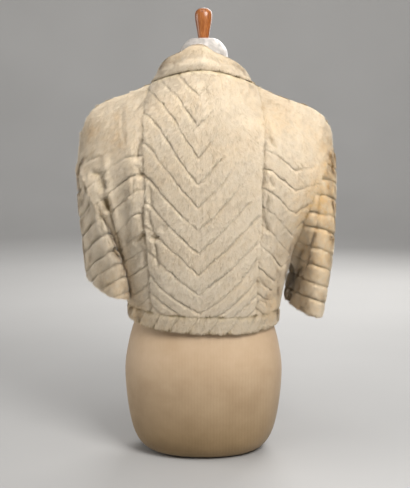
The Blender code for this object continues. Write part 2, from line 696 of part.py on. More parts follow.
def neckline(place):
    """Neck edge of the body and the direction of its pile: 0 centre back, 0.5 shoulder, 1 front end."""
    side = "right" if place >= 0 else "left"
    reach = abs(place)
    face, across = ("back", reach) if reach <= 0.5 else ("front", 1 - reach)
    top = np.array(TOP_LEVEL)
    return drape(face, side, np.array(across), top), pile_direction(face, side, np.array(across), top)


def collar():
    """A small rolled collar: a closed section that stands on the neckline and leans in towards the neck."""
    front = 1 - FRONT_COLUMNS[(FRONT_COLUMNS > 1 - COLLAR_END) & (FRONT_COLUMNS < 0.51)][::-1]
    places = np.concatenate((-front[::-1], CENTRE_COLUMNS, front))
    found = [neckline(p) for p in places]
    rim, pile = np.array([f[0] for f in found]), np.array([f[1] for f in found])
    tangent = unit(np.gradient(rim, axis=0))
    off_panel = unit(np.cross(tangent, pile))
    off_panel = off_panel * np.sign(off_panel[:, 2])[:, None]
    inwards = unit(np.cross(tangent, (0, 0, 1.0)))
    inwards = inwards * np.sign(-(inwards[:, :2] * rim[:, :2]).sum(1))[:, None]
    upright = np.array((0, 0, 1.0))
    lean = COLLAR_LEAN + (FRONT_LEAN - COLLAR_LEAN) * ease(np.abs(places), 0.45, 0.85)[:, None]
    stand = upright * np.cos(lean) + inwards * np.sin(lean)
    outwards = upright * np.sin(lean) - inwards * np.cos(lean)
    size = 0.55 + 0.45 * np.sqrt(np.clip((COLLAR_END - np.abs(places)) / 0.12, 0, 1))
    size = size * (1.04 - COLLAR_SKEW * rim[:, 0])
    rings = [rim + off_panel * SEAM_GAP, rim + pile * EDGE_PILE + off_panel * SEAM_GAP]
    base = rim + off_panel * SEAM_GAP
    tuck = COLLAR_TUCK * ease(np.abs(places), 0.2, 0.5)
    for out, up in COLLAR_SECTION:
        rings.append(base + outwards * (out * size - tuck)[:, None] + stand * (up * size)[:, None])
    grid = np.array(rings)
    count, length = grid.shape[:2]
    ids = np.arange(count * length).reshape(count, length)
    faces = []
    for row in range(count):
        after = (row + 1) % count
        for column in range(length - 1):
            faces.append((ids[row, column], ids[row, column + 1], ids[after, column + 1], ids[after, column]))
    faces.append(tuple(ids[:, 0]))
    faces.append(tuple(ids[:, -1]))
    return add_object("collar", FUR, grid.reshape(-1, 3), faces)


def lathe(name, finish, rings):
    """A closed stack of rings of equal count with flat ends."""
    rings = np.array(rings)
    count, length = rings.shape[:2]
    ids = np.arange(count * length).reshape(count, length)
    faces = [
        (ids[row, k], ids[row, (k + 1) % length], ids[row + 1, (k + 1) % length], ids[row + 1, k])
        for row in range(count - 1)
        for k in range(length)
    ]
    faces.append(tuple(ids[0]))
    faces.append(tuple(ids[-1]))
    return add_object(name, finish, rings.reshape(-1, 3), faces)


def form_ring(height, half_width, back, front, middle, pinch, segments=FORM_SEGMENTS):
    """One level ring of the form: an oval whose sides are square-shouldered or pinched to a ridge."""
    turn = np.arange(segments) * 2 * math.pi / segments
    across, ahead = np.cos(turn), np.sin(turn)
    x = half_width * np.sign(across) * np.abs(across) ** ROUNDNESS
    depth = np.where(ahead < 0, -back - middle, front - middle)
    y = middle + depth * np.abs(ahead) ** pinch
    return np.stack((x, y, np.full(segments, height)), axis=1)


def round_ring(height, radius, segments):
    return form_ring(height, radius, radius, radius, 0.0, ROUNDNESS, segments)


def dress_form():
    lathe("form_torso", JERSEY, [form_ring(*row) for row in FORM_RINGS])
    lathe("form_neck", COTTON, [round_ring(z, r, FORM_SEGMENTS) for z, r in NECK_RINGS])
    lathe("form_knob", WOOD, [round_ring(z, r, KNOB_SEGMENTS) for z, r in KNOB_RINGS])


def main():
    for obj in list(bpy.data.objects):
        bpy.data.objects.remove(obj)
    body_panels()
    sleeve_tube("left")
    sleeve_tube("right")
    hem_band()
    collar()
    dress_form()


main()
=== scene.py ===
"""Looks of the cream sheared-fur bolero on its limbless dress form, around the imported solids.

Metres, +Z up, the garment's back towards -Y and its right side +X. Each fur panel is a thin shell on its
solid's form, with a coat of short blades of pile standing on it. The dress form's pieces are finer turns of
its solids. An across value is 0 at the middle of the back or the edge of a front, 0.5 at the back seam or the
middle of a front, and 1 at the arm. A level is 0 at the hem and 7 at the shoulder seam and neckline.
"""

import math
from types import SimpleNamespace

import bmesh
import bpy
import numpy as np
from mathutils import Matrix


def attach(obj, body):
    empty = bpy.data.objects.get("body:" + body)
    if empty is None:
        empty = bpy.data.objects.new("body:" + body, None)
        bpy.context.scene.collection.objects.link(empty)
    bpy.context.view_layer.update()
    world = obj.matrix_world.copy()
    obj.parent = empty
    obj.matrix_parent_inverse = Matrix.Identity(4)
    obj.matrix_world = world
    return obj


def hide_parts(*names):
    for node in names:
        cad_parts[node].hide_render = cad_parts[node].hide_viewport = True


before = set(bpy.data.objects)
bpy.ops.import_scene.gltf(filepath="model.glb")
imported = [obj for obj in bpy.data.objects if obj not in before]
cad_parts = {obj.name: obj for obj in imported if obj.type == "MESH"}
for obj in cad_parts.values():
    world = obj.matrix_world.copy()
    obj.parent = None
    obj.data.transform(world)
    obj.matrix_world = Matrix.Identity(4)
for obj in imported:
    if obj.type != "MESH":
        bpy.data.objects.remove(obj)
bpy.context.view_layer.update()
RANDOM = np.random.default_rng(11)

# Pile
CREST_PILE = 0.0095  # skin, lining and pile at the crest of a strip
GROOVE_PILE = 0.0060  # the same at the bottom of a groove
EDGE_PILE = 0.0050  # the same at a sewn edge, where the pile is parted
ARM_EDGE_PILE = 0.0085  # the same at the armhole, where the body's pile stands over the sleeve
UNDERARM_PILE = 0.0030  # the same in the tight corner under the arm
GROOVE_HALF = 0.0018  # half width of a parting between two strips
EDGE_TURN = 0.006  # how far from a sewn edge the pile turns down
SEAM_HALF = 0.0018  # half width of the painted shade in the parting at a seam
RAGGED_HALF = 0.0036  # the same for the painted shade along the neckline and the hem band
HAIR = 0.0042  # how deep the blades of pile stand over the shell
BARE_HAIR = 0.0009  # where the blades would be shorter than this the shell alone shows
SHELL_LEAST = 0.0010  # the shell is at least this thick
SHELL_TONE = 0.42  # tone of the skin under the blades, where 0 is a dark hollow and 1 a bright tip; the low tones are painted shade
FOOT_TONE = 0.52  # tone of a blade's foot, darker than its tip: partly the darker underfur, partly painted shade deep in the pile
LEAN = math.radians(55)  # how far the pile leans over along its nap
LEAN_ABOVE = math.radians(24)  # how much more it lies down where the garment faces up
BLADE_WIDTH = 0.0013  # a blade stands for a lock of hairs, drawn as coarse as it needs to show
BLADE_SPACING = 0.00112
LOCK_SIZE = 0.008  # size of the locks into which the pile parts
GRID_STEP = 0.0034  # mesh size of the shells
LOWER_HALF = ((0.08, 0.08), (0.72, 0.08), (0.08, 0.72))  # a blade's corners in its cell of the flat map
UPPER_HALF = ((0.92, 0.92), (0.28, 0.92), (0.92, 0.28))  # those of the second blade in the same cell
STEP = 1e-4  # parameter step used to measure slopes of a surface
PARTING_POWER = 1.4  # shape of a parting: 1 is a sharp notch, 2 a round bell
EDGE_START = -0.001  # where the turn of the pile at a sewn edge begins
HIDDEN_EDGE = EDGE_TURN * 3  # an edge that is brushed over counts as this much further away
CLEAR_EDGE = 0.012  # way to a sewn edge where there is none
SEAM_DARK = 0.8  # how dark the parting at a seam is: painted shade in the gap at a sewn edge
SHELL_GROOVE = 1.8  # the shell's grooves are this much wider than the coat's
FOOT_DEPTH = 1.15  # how far the shell lies under the pile's surface, in depths of the blades
BARE_TONE = 0.9  # tone of the shell where no blades stand
LEAST_RATE = 4.0  # strips in a metre, at least
DEPTH_MEAN = 0.88  # mean share of a groove's full depth
DEPTH_RANGE = (0.40, 1.1)  # its least and most
CREASE_DARK = (0.0010, 0.0120)  # depths of a crease between which painted shade darkens it
CREASE_POINTS = 33  # points along the path of a crease
LEAST_COLUMNS = 6  # columns of a body panel's grid, at least
BODY_ROWS = 136  # rows of its grid

# Blades of pile
MOST_DEPTH = 0.7  # a blade takes at most this share of the pile's height
STEEPEST = 1.2  # slope of the pile's surface that the blades' shading shows, at most
PULL_OUT = 0.35  # the nap runs down and, by this share, out from the middle of the body
PULL_HALF = 0.05  # distance from the middle at which that sets in
PULL_BACK = -0.15  # y share of the nap, which also runs towards the garment's back
SWIRL_SPREAD = 0.30  # chance turn of a blade about the normal, in radians
FACING_UP = (0.05, 0.55)  # upward parts of the normal between which the pile lies down
LEAN_SPREAD = 0.10  # chance lean, in radians
LEAN_RANGE = (0.5, 1.42)  # least and most lean
LONG_LEAN = 1.05  # a blade that leans further than this grows no longer
BLADE_LENGTHS = (0.85, 1.12)  # least and most length, as shares
BLADE_HALVES = (0.35, 0.65)  # least and most half width, as shares of the width
FORM_SHADE = 0.8  # part of the garment's form in the blades' normals
OWN_SHADE = 0.2  # part of the blade's own
LOCK_SHADE = 0.10  # part of the locks
SHADE_SPREAD = 0.06  # part left to chance
TONE_SPREAD = 0.08  # chance difference in tone from blade to blade
PARTING_DARK = 0.20  # how much darker the blades are in a parting: painted shade of the groove, with the darker skin that shows there
PAINTED_SHADE_DARK = 0.85  # and where shade is painted: in creases and along some seams and edges
LOCK_SEEDS = (41, 42, 43)  # seeds of the locks, one for each direction

# Unevenness
WAVES = 9  # waves in an uneven field
WAVE_LENGTHS = (0.7, 1.8)  # least and most length of a wave, in sizes of the field
WAVE_SCALE = 1.4  # brings the sum of the waves to about -1 to 1
UNEVEN = {  # size of the uneven places, seed of the waves, strength
    "groove place": (0.045, 5, 0.035),
    "groove depth": (0.055, 12, 0.45),
    "yellow": (0.090, 21, 0.10),
    "ragged": (0.016, 8, 0.90),
    "swirl": (0.022, 31, 0.55),
    "lean": (0.030, 32, 0.10),
    "lock tone": (LOCK_SIZE, 44, 0.07),
}
YELLOW_ALL = 0.10  # how yellowed the fur is all over
RAGGED_MEAN = 0.6  # mean painted shade of a ragged parting
RAGGED_RANGE = (0.15, 1)  # its least and most

# Grooves between the fur strips, one row for each groove, from the hem upwards
CENTRE_POINT = -0.035  # across value of the points of the chevrons
CENTRE_GROOVES = np.array([  # level at the left seam, at the chevron's point, at the right seam
    (0.30, -1.20, 0.80),
    (0.90, -0.60, 1.35),
    (1.45, 0.00, 1.90),
    (1.97, 0.60, 2.39),
    (2.45, 1.20, 2.87),
    (2.97, 1.95, 3.28),
    (3.59, 2.47, 3.90),
    (4.20, 2.94, 4.52),
    (4.78, 3.50, 5.20),
    (5.55, 4.08, 5.87),
    (6.20, 4.64, 6.45),
    (6.91, 5.22, 7.05),
    (7.60, 5.80, 7.65),
    (8.20, 6.43, 8.25),
    (8.90, 7.10, 8.90),
])
CENTRE_FADE = np.array([  # level, across value to the right of which the grooves are brushed out
    (0.00, 0.90),
    (3.80, 0.55),
    (4.30, 0.35),
    (5.00, 0.22),
    (5.35, 0.06),
    (7.00, -0.02),
])
SIDE_GROOVES = {  # level at the seam, across value and level of the point, level at the arm
    "left": np.array([
        (0.70, 0.66, 0.10, 0.20),
        (1.20, 0.66, 0.60, 0.70),
        (1.70, 0.68, 1.20, 1.30),
        (2.17, 0.72, 1.73, 1.85),
        (2.61, 0.74, 2.38, 2.45),
        (3.01, 0.78, 2.83, 2.90),
        (3.45, 0.80, 3.30, 3.38),
        (3.92, 0.86, 3.98, 3.95),
        (4.48, 0.85, 4.68, 4.60),
        (4.86, 0.83, 5.14, 5.10),
        (5.25, 0.81, 5.66, 5.65),
        (5.75, 0.80, 6.20, 6.25),
        (6.25, 0.80, 6.75, 6.80),
        (6.80, 0.80, 7.30, 7.35),
    ]),
    "right": np.array([
        (0.85, 0.68, 0.10, 0.60),
        (1.40, 0.70, 0.75, 1.20),
        (1.95, 0.72, 1.60, 2.00),
        (2.30, 0.69, 2.02, 2.60),
        (2.62, 0.70, 2.32, 3.05),
        (3.17, 0.77, 2.75, 3.40),
        (3.68, 0.88, 3.25, 3.75),
        (4.12, 0.91, 3.92, 4.45),
        (4.57, 0.89, 4.50, 5.00),
        (5.00, 0.85, 5.03, 5.50),
        (5.44, 0.82, 5.43, 5.95),
        (5.80, 0.78, 5.84, 6.30),
        (6.25, 0.78, 6.30, 6.75),
        (6.75, 0.78, 6.80, 7.20),
        (7.30, 0.78, 7.30, 7.70),
    ]),
}
FRONT_SPACING = 0.53  # levels between two grooves of a front
FRONT_SPAN = (-1.0, 8.6)  # levels between which they begin
FRONT_CHEVRON = np.array((0.13, -0.87, 0.0))  # rise of a groove, in levels, at the front edge, middle and arm
SLEEVE_TIP = 0.16  # how much higher a groove runs at the back of a sleeve, in metres per metre
SLEEVE_REACH = (0.15, 0.27)  # distances from the middle plane at which the sleeves' grooves are given
SLEEVE_GROOVES = {  # height at the nearer and at the further distance, from the cuff upwards
    "left": (
        (0.285, 0.201),
        (0.315, 0.231),
        (0.347, 0.263),
        (0.378, 0.294),
        (0.407, 0.323),
        (0.446, 0.362),
        (0.480, 0.396),
        (0.519, 0.435),
        (0.553, 0.490),
        (0.590, 0.545),
        (0.640, 0.600),
    ),
    "right": (
        (0.265, 0.200),
        (0.300, 0.235),
        (0.332, 0.268),
        (0.369, 0.296),
        (0.402, 0.333),
        (0.434, 0.364),
        (0.460, 0.413),
        (0.481, 0.448),
        (0.510, 0.486),
        (0.537, 0.520),
        (0.569, 0.547),
        (0.605, 0.580),
        (0.640, 0.615),
    ),
}
BAND_PILE = 0.0105  # crest of the hem band
BAND_GROOVE = 0.75  # share of a groove's depth on the hem band
BAND_SHADE = 0.08  # painted shade: how much darker it is all over, as it lies in shade
BAND_NOTCH = 0.0035  # half width of the dark notches of painted shade at its lower edge
NOTCH_DARK = 0.8  # how dark they are
NOTCH_RUN = (0.002, 0.013)  # heights between which they end
BAND_GRID = (241, 12)  # columns round the hem band and rows up it
BAND_MIDDLE = 5  # the row along which its grooves are counted
BAND_PITCH = 0.035  # between two grooves of the hem band
BAND_SLANT = 0.022  # how far a groove of the hem band leans over the band's height
CAP_FADE = (5.0, 6.0)  # levels between which the grooves fade out towards the shoulder
MARGIN_LEVELS = (2.6, 3.1)  # below these the side panels are plain outside the chevrons' points
CAP_GROOVE = 0.05  # share of the groove's depth left on the shoulder
SLEEVE_GROOVE = 0.90  # share of it on the sleeves
CENTRE_RUN = (-0.06, 0.10)  # across values, from those of CENTRE_FADE, over which the grooves fade out
POINT_RUN = 0.03  # across values past the chevrons' points over which they end
CAP_BRUSHED = 0.8  # how far the grooves are brushed out at the top of the left sleeve
CAP_RETURN = (0.08, 0.22)  # shares of its length between which they come back

# Levels of the body, from the hem to the shoulder seam and neckline
BAND_LEVEL = 1.0
BAND_INSET = 0.006  # half the gap between the hem band and the panels above it
TOP_INSET = 0.0022  # gap below the shoulder seam and neckline
UNDERARM_LEVEL = 3.0
TOP_LEVEL = 7.0
SHOULDER_BLEND = 0.5  # below the shoulder seam, where the pile of back and front turns to one direction
UNDERARM_BLEND = 0.3  # the same below the underarm
SEAM_INSET = 0.0009  # in across values, half the gap between two panels
SEAM_BLEND = 0.05  # across values beside a seam where the two panels' pile turns to one direction
NECK_BLEND = (0.40, 0.5)  # the same at the shoulder seam's inner end
SIDE_BLEND = (0.9, 1.0)  # the same at the side seam
ARM_BLEND = (0.88, 1.0)  # the same at the armhole
NEAR_ARM = 0.9  # across value from which an edge is the arm's
ARM_PILE_RUN = (0.3, 1.2)  # levels above the underarm between which the armhole's pile rises
TIGHT_RUN = (0.2, 1.0)  # levels from the underarm between which its pile is pressed flat
FOLD_MARGIN = (0.90, 1.0)  # across values between which the large folds end
FOLD_RUN = 0.8  # levels over which they end at the band and the shoulder
CREASE_MARGIN = (0.94, 0.99)  # across values between which the creases end
BACK_WIDTH = 0.21  # rough widths of the back centre, a side back and a front, for their grids
SIDE_WIDTH = 0.15
FRONT_WIDTH = 0.20

# Guide lines of the drape surface, one row for each level
CENTRE_BACK = np.array([  # x, y, z
    (0.000, -0.1045, 0.254),
    (0.000, -0.110, 0.287),
    (0.000, -0.118, 0.335),
    (0.000, -0.123, 0.410),
    (0.000, -0.126, 0.485),
    (0.000, -0.124, 0.560),
    (0.000, -0.108, 0.650),
    (0.000, -0.076, 0.726),
])
BACK_SEAM = np.array([  # x, y, z
    (0.089, -0.083, 0.256),
    (0.092, -0.088, 0.288),
    (0.095, -0.096, 0.335),
    (0.100, -0.102, 0.410),
    (0.103, -0.107, 0.485),
    (0.105, -0.108, 0.560),
    (0.107, -0.083, 0.642),
    (0.095, -0.012, 0.710),
])
FRONT_EDGE = np.array([  # x, y, z
    (0.026, 0.105, 0.262),
    (0.027, 0.109, 0.292),
    (0.029, 0.118, 0.335),
    (0.032, 0.133, 0.410),
    (0.035, 0.146, 0.480),
    (0.036, 0.144, 0.545),
    (0.038, 0.120, 0.605),
    (0.042, 0.088, 0.650),
])
FRONT_MIDDLE = np.array([  # x, y, z
    (0.092, 0.084, 0.261),
    (0.094, 0.089, 0.291),
    (0.097, 0.098, 0.335),
    (0.102, 0.112, 0.410),
    (0.106, 0.123, 0.480),
    (0.106, 0.120, 0.550),
    (0.104, 0.083, 0.636),
    (0.095, -0.012, 0.710),
])
ARM_EDGE = np.array([  # x, distance behind or before the arm's middle, z; slope across the panel there
    (0.139, 0.000, 0.261, 0.000, 0.120, 0.000),
    (0.141, 0.000, 0.290, 0.000, 0.120, 0.000),
    (0.147, 0.000, 0.325, 0.000, 0.130, 0.000),
    (0.163, 0.000, 0.378, 0.020, 0.130, -0.005),
    (0.179, 0.050, 0.432, 0.110, 0.090, -0.050),
    (0.198, 0.078, 0.490, 0.140, 0.030, -0.060),
    (0.218, 0.061, 0.548, 0.120, 0.030, -0.120),
    (0.236, 0.000, 0.583, 0.030, 0.000, -0.300),
])
NECK_SLOPE_BACK = (0.030, 0.085, -0.030)  # slope of the back neckline where it meets the shoulder
NECK_SLOPE_FRONT = (0.045, -0.115, 0.012)  # slope of the front neckline there
SHOULDER_SLOPE = (0.280, 0.010, -0.150)  # slope of the shoulder seam there
ARM_LIFT = {"left": -0.018, "right": 0.020}  # how much lower or higher the cap ends on each side
ARM_OUT = {"left": -0.001, "right": 0.005}  # how much nearer or further out it ends
CAP_SQUARE = {"left": 1.30, "right": 0.88}  # how squarely it turns down there
TILT = 0.020  # the garment hangs a little lower on its right, in metres per metre
HEM_TILT = 0.020  # and its hem a little more
NECK_RISE = 0.008  # how much higher the middle of the back neckline is drawn up
NECK_RISE_HALF = 0.055  # half width of that rise
NECK_RISE_LEVEL = 5.8  # level from which it sets in
NECK_BEHIND = (0.015, 0.070)  # distances behind the middle of the body between which it sets in
CENTRE_SLOPE = {"back": (1.25, 0.0, 0.0), "front": (1.2, 0.7, 0.7)}  # slope at the middle, in straight slopes

# Large folds: across value, level, half width across, half height in levels, height out of the surface
BACK_FOLDS = {
    "left": (
        (0.62, 4.4, 0.09, 1.1, 0.007),
        (0.52, 4.6, 0.06, 1.6, -0.006),
        (0.60, 3.0, 0.10, 0.35, -0.005),
        (0.86, 3.6, 0.10, 0.9, 0.006),
    ),
    "right": (
        (0.60, 4.3, 0.08, 1.2, 0.006),
        (0.52, 4.5, 0.06, 1.5, -0.006),
        (0.84, 4.0, 0.12, 1.0, 0.006),
        (0.70, 1.6, 0.12, 0.4, -0.004),
    ),
}
FRONT_FOLDS = (
    (0.70, 3.4, 0.12, 1.0, 0.006),
    (0.90, 3.0, 0.10, 0.8, -0.004),
)
# Creases and ridges beside the seams: start across and level, end across and level, half width, height
CENTRE_CREASES = (
    ((0.460, 4.58), (0.436, 4.04), 0.0034, -0.0042),
    ((0.462, 3.98), (0.456, 3.60), 0.0030, -0.0044),
    ((0.460, 3.70), (0.420, 3.42), 0.0030, -0.0038),
    ((0.458, 3.27), (0.355, 3.27), 0.0046, -0.0078),
    ((0.346, 3.43), (0.306, 3.61), 0.0060, -0.0032),
    ((0.418, 3.24), (0.400, 2.85), 0.0030, -0.0056),
    ((0.402, 2.93), (0.397, 2.56), 0.0030, -0.0046),
    ((0.472, 4.20), (0.476, 3.72), 0.0050, 0.0028),
)
BACK_CREASES = {
    "left": (
        ((0.548, 3.42), (0.511, 3.12), 0.0032, -0.0050),
        ((0.625, 6.74), (0.675, 5.80), 0.0030, -0.0014),
        ((0.980, 6.38), (0.825, 5.98), 0.0034, -0.0030),
        ((0.825, 6.05), (0.860, 5.45), 0.0065, 0.0030),
        ((0.855, 5.55), (0.885, 4.80), 0.0065, 0.0040),
        ((0.880, 4.95), (0.865, 3.95), 0.0065, 0.0030),
        ((0.960, 5.98), (0.885, 5.70), 0.0060, -0.0070),
        ((0.910, 5.72), (0.905, 5.30), 0.0080, -0.0060),
        ((0.915, 5.16), (0.930, 4.72), 0.0095, -0.0105),
        ((0.925, 4.84), (0.905, 3.90), 0.0046, -0.0062),
        ((0.908, 4.06), (0.850, 3.30), 0.0046, -0.0066),
        ((0.862, 3.48), (0.790, 2.85), 0.0046, -0.0066),
        ((0.535, 5.66), (0.585, 5.25), 0.0040, -0.0062),
        ((0.575, 5.14), (0.540, 4.78), 0.0040, -0.0062),
        ((0.600, 4.98), (0.630, 4.45), 0.0032, -0.0042),
        ((0.550, 3.95), (0.535, 3.48), 0.0036, -0.0050),
        ((0.525, 3.42), (0.630, 3.20), 0.0042, -0.0075),
        ((0.540, 3.05), (0.560, 2.60), 0.0034, -0.0040),
        ((0.520, 6.62), (0.555, 6.36), 0.0050, -0.0020),
        ((0.540, 4.55), (0.535, 4.05), 0.0050, 0.0036),
        ((0.660, 3.62), (0.780, 3.40), 0.0060, -0.0042),
    ),
    "right": (
        ((0.505, 6.30), (0.550, 5.66), 0.0028, -0.0042),
        ((0.548, 5.74), (0.605, 5.56), 0.0030, -0.0046),
        ((0.525, 5.62), (0.505, 5.15), 0.0030, -0.0045),
        ((0.545, 5.30), (0.535, 4.72), 0.0048, 0.0040),
        ((0.510, 5.10), (0.515, 4.50), 0.0030, -0.0050),
        ((0.560, 4.90), (0.600, 4.70), 0.0032, -0.0046),
        ((0.535, 4.66), (0.525, 4.10), 0.0045, 0.0042),
        ((0.555, 4.50), (0.550, 4.10), 0.0028, -0.0042),
        ((0.510, 4.25), (0.530, 3.50), 0.0030, -0.0045),
        ((0.545, 3.86), (0.575, 3.50), 0.0030, -0.0042),
        ((0.515, 2.34), (0.640, 2.10), 0.0036, -0.0045),
        ((0.540, 1.72), (0.640, 1.48), 0.0040, -0.0038),
        ((0.985, 6.60), (0.955, 5.95), 0.0050, 0.0030),
        ((0.950, 5.95), (0.960, 4.70), 0.0060, 0.0030),
    ),
}

# Sleeves. The four stations round a sleeve are its outer line, front, inner line and back.
CUFFS = {  # centre x, y, z; half length, half width; turn in degrees; rise of the front end and outer line
    "left": (-0.188, 0.006, 0.319, 0.078, 0.020, 27.0, 0.008, 0.008),
    "right": (0.194, 0.000, 0.286, 0.081, 0.022, -11.0, 0.006, -0.004),
}
SLEEVE_START = np.array([  # how the sleeve leaves the armhole at each station: outwards, forwards, up
    (0.016, 0.000, -0.100),
    (0.020, 0.002, -0.070),
    (0.034, 0.000, -0.014),
    (0.020, -0.002, -0.070),
])
SLEEVE_OUT = {"left": -0.010, "right": 0.004}  # added to the outward part of the outer line's start
SLEEVE_BACK = {"left": -0.042, "right": 0.000}  # added to that of the back line
SLEEVE_END = np.array([  # how it arrives at the cuff
    (-0.022, 0.000, -0.095),
    (-0.004, 0.000, -0.075),
    (-0.008, 0.000, -0.045),
    (-0.004, 0.000, -0.075),
])
SLEEVE_SEAM_SHIFT = 0.0005  # gap between a sleeve and its armhole
SEAM_ROWS = 3  # rows of its grid that show which way it leaves the armhole
SLEEVE_GRID = (129, 90)  # columns round a sleeve and rows down it
SEAM_TURN = 0.12  # share of its length over which its pile turns from the armhole's direction
FOLD_START = 0.08  # share over which its folds set in
INNER_ANGLES = (35, 80)  # degrees from the inner line between which the pile rises to its full height
INNER_FLAT = 0.35  # how much flatter it is pressed on the inner line
ARM_SEAM_DARK = 0.6  # how dark the painted shade along the ragged parting behind the right arm seam is
SLEEVE_FOLDS = {  # angle in degrees, share of the length, half angle, half share, height
    "left": (
        (350.0, 0.04, 36.0, 0.07, 0.004),
        (306.0, 0.56, 30.0, 0.27, 0.007),
        (264.0, 0.35, 16.0, 0.22, -0.003),
        (318.0, 0.96, 42.0, 0.16, 0.006),
        (100.0, 0.35, 40.0, 0.15, -0.007),
    ),
    "right": (
        (310.0, 0.50, 30.0, 0.30, 0.004),
        (95.0, 0.35, 40.0, 0.15, -0.007),
    ),
}
SLEEVE_CREASES = {  # start angle and share, end angle and share, half width, height
    "left": (
        ((70.0, 0.15), (95.0, 0.28), 0.0060, -0.0050),
    ),
    "right": (
        ((296.0, 0.05), (266.0, 0.24), 0.0048, -0.0058),
        ((271.0, 0.20), (242.0, 0.34), 0.0048, -0.0062),
        ((248.0, 0.31), (214.0, 0.52), 0.0052, -0.0058),
        ((284.0, 0.19), (252.0, 0.38), 0.0070, 0.0030),
        ((318.0, 0.02), (338.0, 0.12), 0.0040, -0.0040),
        ((85.0, 0.20), (110.0, 0.42), 0.0060, -0.0050),
    ),
}
HIDDEN_SEAM = (4.2, 4.6, 6.2, 6.6)  # levels between which the left arm seam is brushed over
SOFT_SEAM = (3.2, 3.6, 4.7, 5.2)  # the same for the back's left seam, which is half brushed over
SOFT_EDGE = 0.0026  # how far inside its edge the pile of that seam seems to begin

# Collar
COLLAR_LEAN = math.radians(31)  # it leans in towards the neck
FRONT_LEAN = math.radians(12)  # and less so at its front ends
COLLAR_END = 0.98  # the collar stops this far round the front neckline
COLLAR_SKEW = 1.8  # it stands higher on its left, as a share per metre
COLLAR_PEAK = (-0.013, 0.031, 0.24)  # x, half width and share by which it stands higher at the back
COLLAR_TUCK = 0.007  # how far its sides and fronts are tucked in towards the neck
TUCK_RUN = (0.2, 0.5)  # from where to where round the neckline that sets in
FRONT_RUN = (0.45, 0.85)  # the same for the lean of its front ends
COLLAR_SIZE = 1.04  # size of its section at the middle plane
COLLAR_TAPER = (0.55, 0.45, 0.12)  # share of it at the front ends, what it gains, and the reach that takes
COLLAR_CORE = 0.08  # its skin lies inside, shrunk to this share of the section
COLLAR_GRID = (37, 121)  # columns round its section and rows along it
COVERED = (0.05, 0.16)  # where round its section the blades begin
LAID_DOWN = (0.39, 0.48)  # and where they end, on the inside
HAIR_LEAST = 0.10  # share of a blade's depth beyond
FOOT_DARK = (0.06, 0.15)  # where round its section the painted shadow at its foot ends
COLLAR_SECTION = (  # out from the stand line, up along it, as the section is walked round
    (0.0078, 0.0060),
    (0.0098, 0.0150),
    (0.0108, 0.0260),
    (0.0092, 0.0360),
    (0.0036, 0.0415),
    (-0.0020, 0.0380),
    (-0.0045, 0.0260),
    (-0.0040, 0.0120),
)
COLLAR_MIDDLE = (0.0050, 0.0200)  # middle of the section
COLLAR_GAP = 0.0004  # between the collar and the neckline
COLLAR_HAIR = 0.0050  # how deep the collar's blades stand over its shell

# Dress form
FORM_DETAIL = {"torso": (116, 108), "neck": (40, 96), "knob": (48, 64)}  # rings and segments
SHARP_ANGLE = math.radians(50)  # edges sharper than this stay sharp
CREASE_FOOT = (0.752, 0.790)  # heights between which the neck cover's creases set in
CREASE_TOP = (0.7945, 0.7965)  # and between which they end
CREASE_DEPTH = 0.018  # how deep they are, as a share of the radius
BROAD_CREASES = 7  # round the neck
FINE_CREASES = 17
BROAD_SHARE = 0.6
FINE_SHARE = 0.4
FINE_START = 1.0  # where the fine ones begin, in radians
BROAD_SWAY = 0.6  # how unevenly the broad ones are spaced, in radians
SWAY_COUNT = 3
FORM_RINGS = np.array([  # height, half width, depth behind, depth in front, y of the widest line, side pinch
    (0.000, 0.1000, 0.0720, 0.066, 0.000, 0.92),
    (0.003, 0.1100, 0.0820, 0.075, 0.000, 0.92),
    (0.012, 0.1225, 0.0940, 0.086, 0.000, 0.92),
    (0.030, 0.1345, 0.1040, 0.094, 0.000, 0.92),
    (0.060, 0.1440, 0.1110, 0.100, 0.000, 0.92),
    (0.110, 0.1515, 0.1170, 0.104, 0.000, 0.92),
    (0.165, 0.1540, 0.1180, 0.103, 0.000, 0.92),
    (0.215, 0.1465, 0.1100, 0.098, 0.000, 0.92),
    (0.258, 0.1345, 0.0965, 0.090, 0.000, 0.92),
    (0.310, 0.1210, 0.0830, 0.084, 0.000, 0.92),
    (0.360, 0.1150, 0.0780, 0.083, 0.000, 0.92),
    (0.420, 0.1210, 0.0840, 0.094, 0.000, 0.92),
    (0.480, 0.1340, 0.0940, 0.112, 0.000, 0.92),
    (0.530, 0.1440, 0.1010, 0.117, 0.000, 0.92),
    (0.580, 0.1500, 0.1040, 0.100, 0.000, 0.92),
    (0.620, 0.1520, 0.0900, 0.074, -0.002, 0.95),
    (0.650, 0.1520, 0.0690, 0.056, -0.005, 1.05),
    (0.668, 0.1490, 0.0570, 0.045, -0.008, 1.25),
    (0.6815, 0.1390, 0.0500, 0.039, -0.011, 1.50),
    (0.6935, 0.1170, 0.0470, 0.037, -0.012, 1.75),
    (0.7038, 0.0865, 0.0460, 0.037, -0.012, 1.60),
    (0.714, 0.0620, 0.0455, 0.039, -0.007, 1.20),
    (0.728, 0.0495, 0.0455, 0.042, -0.002, 1.00),
    (0.750, 0.0475, 0.0465, 0.046, 0.000, 0.92),
])
ROUNDNESS = 0.92  # below 1 a ring is a little squarer than an ellipse
NECK_RINGS = np.array([  # height, radius
    (0.7503, 0.0470),
    (0.763, 0.0467),
    (0.773, 0.0450),
    (0.782, 0.0405),
    (0.790, 0.0335),
    (0.7950, 0.0270),
    (0.7965, 0.0220),
])
KNOB_RINGS = np.array([  # height, radius
    (0.7968, 0.0095),
    (0.800, 0.0103),
    (0.815, 0.0128),
    (0.830, 0.0155),
    (0.840, 0.0162),
    (0.847, 0.0145),
    (0.8515, 0.0095),
    (0.8530, 0.0035),
])

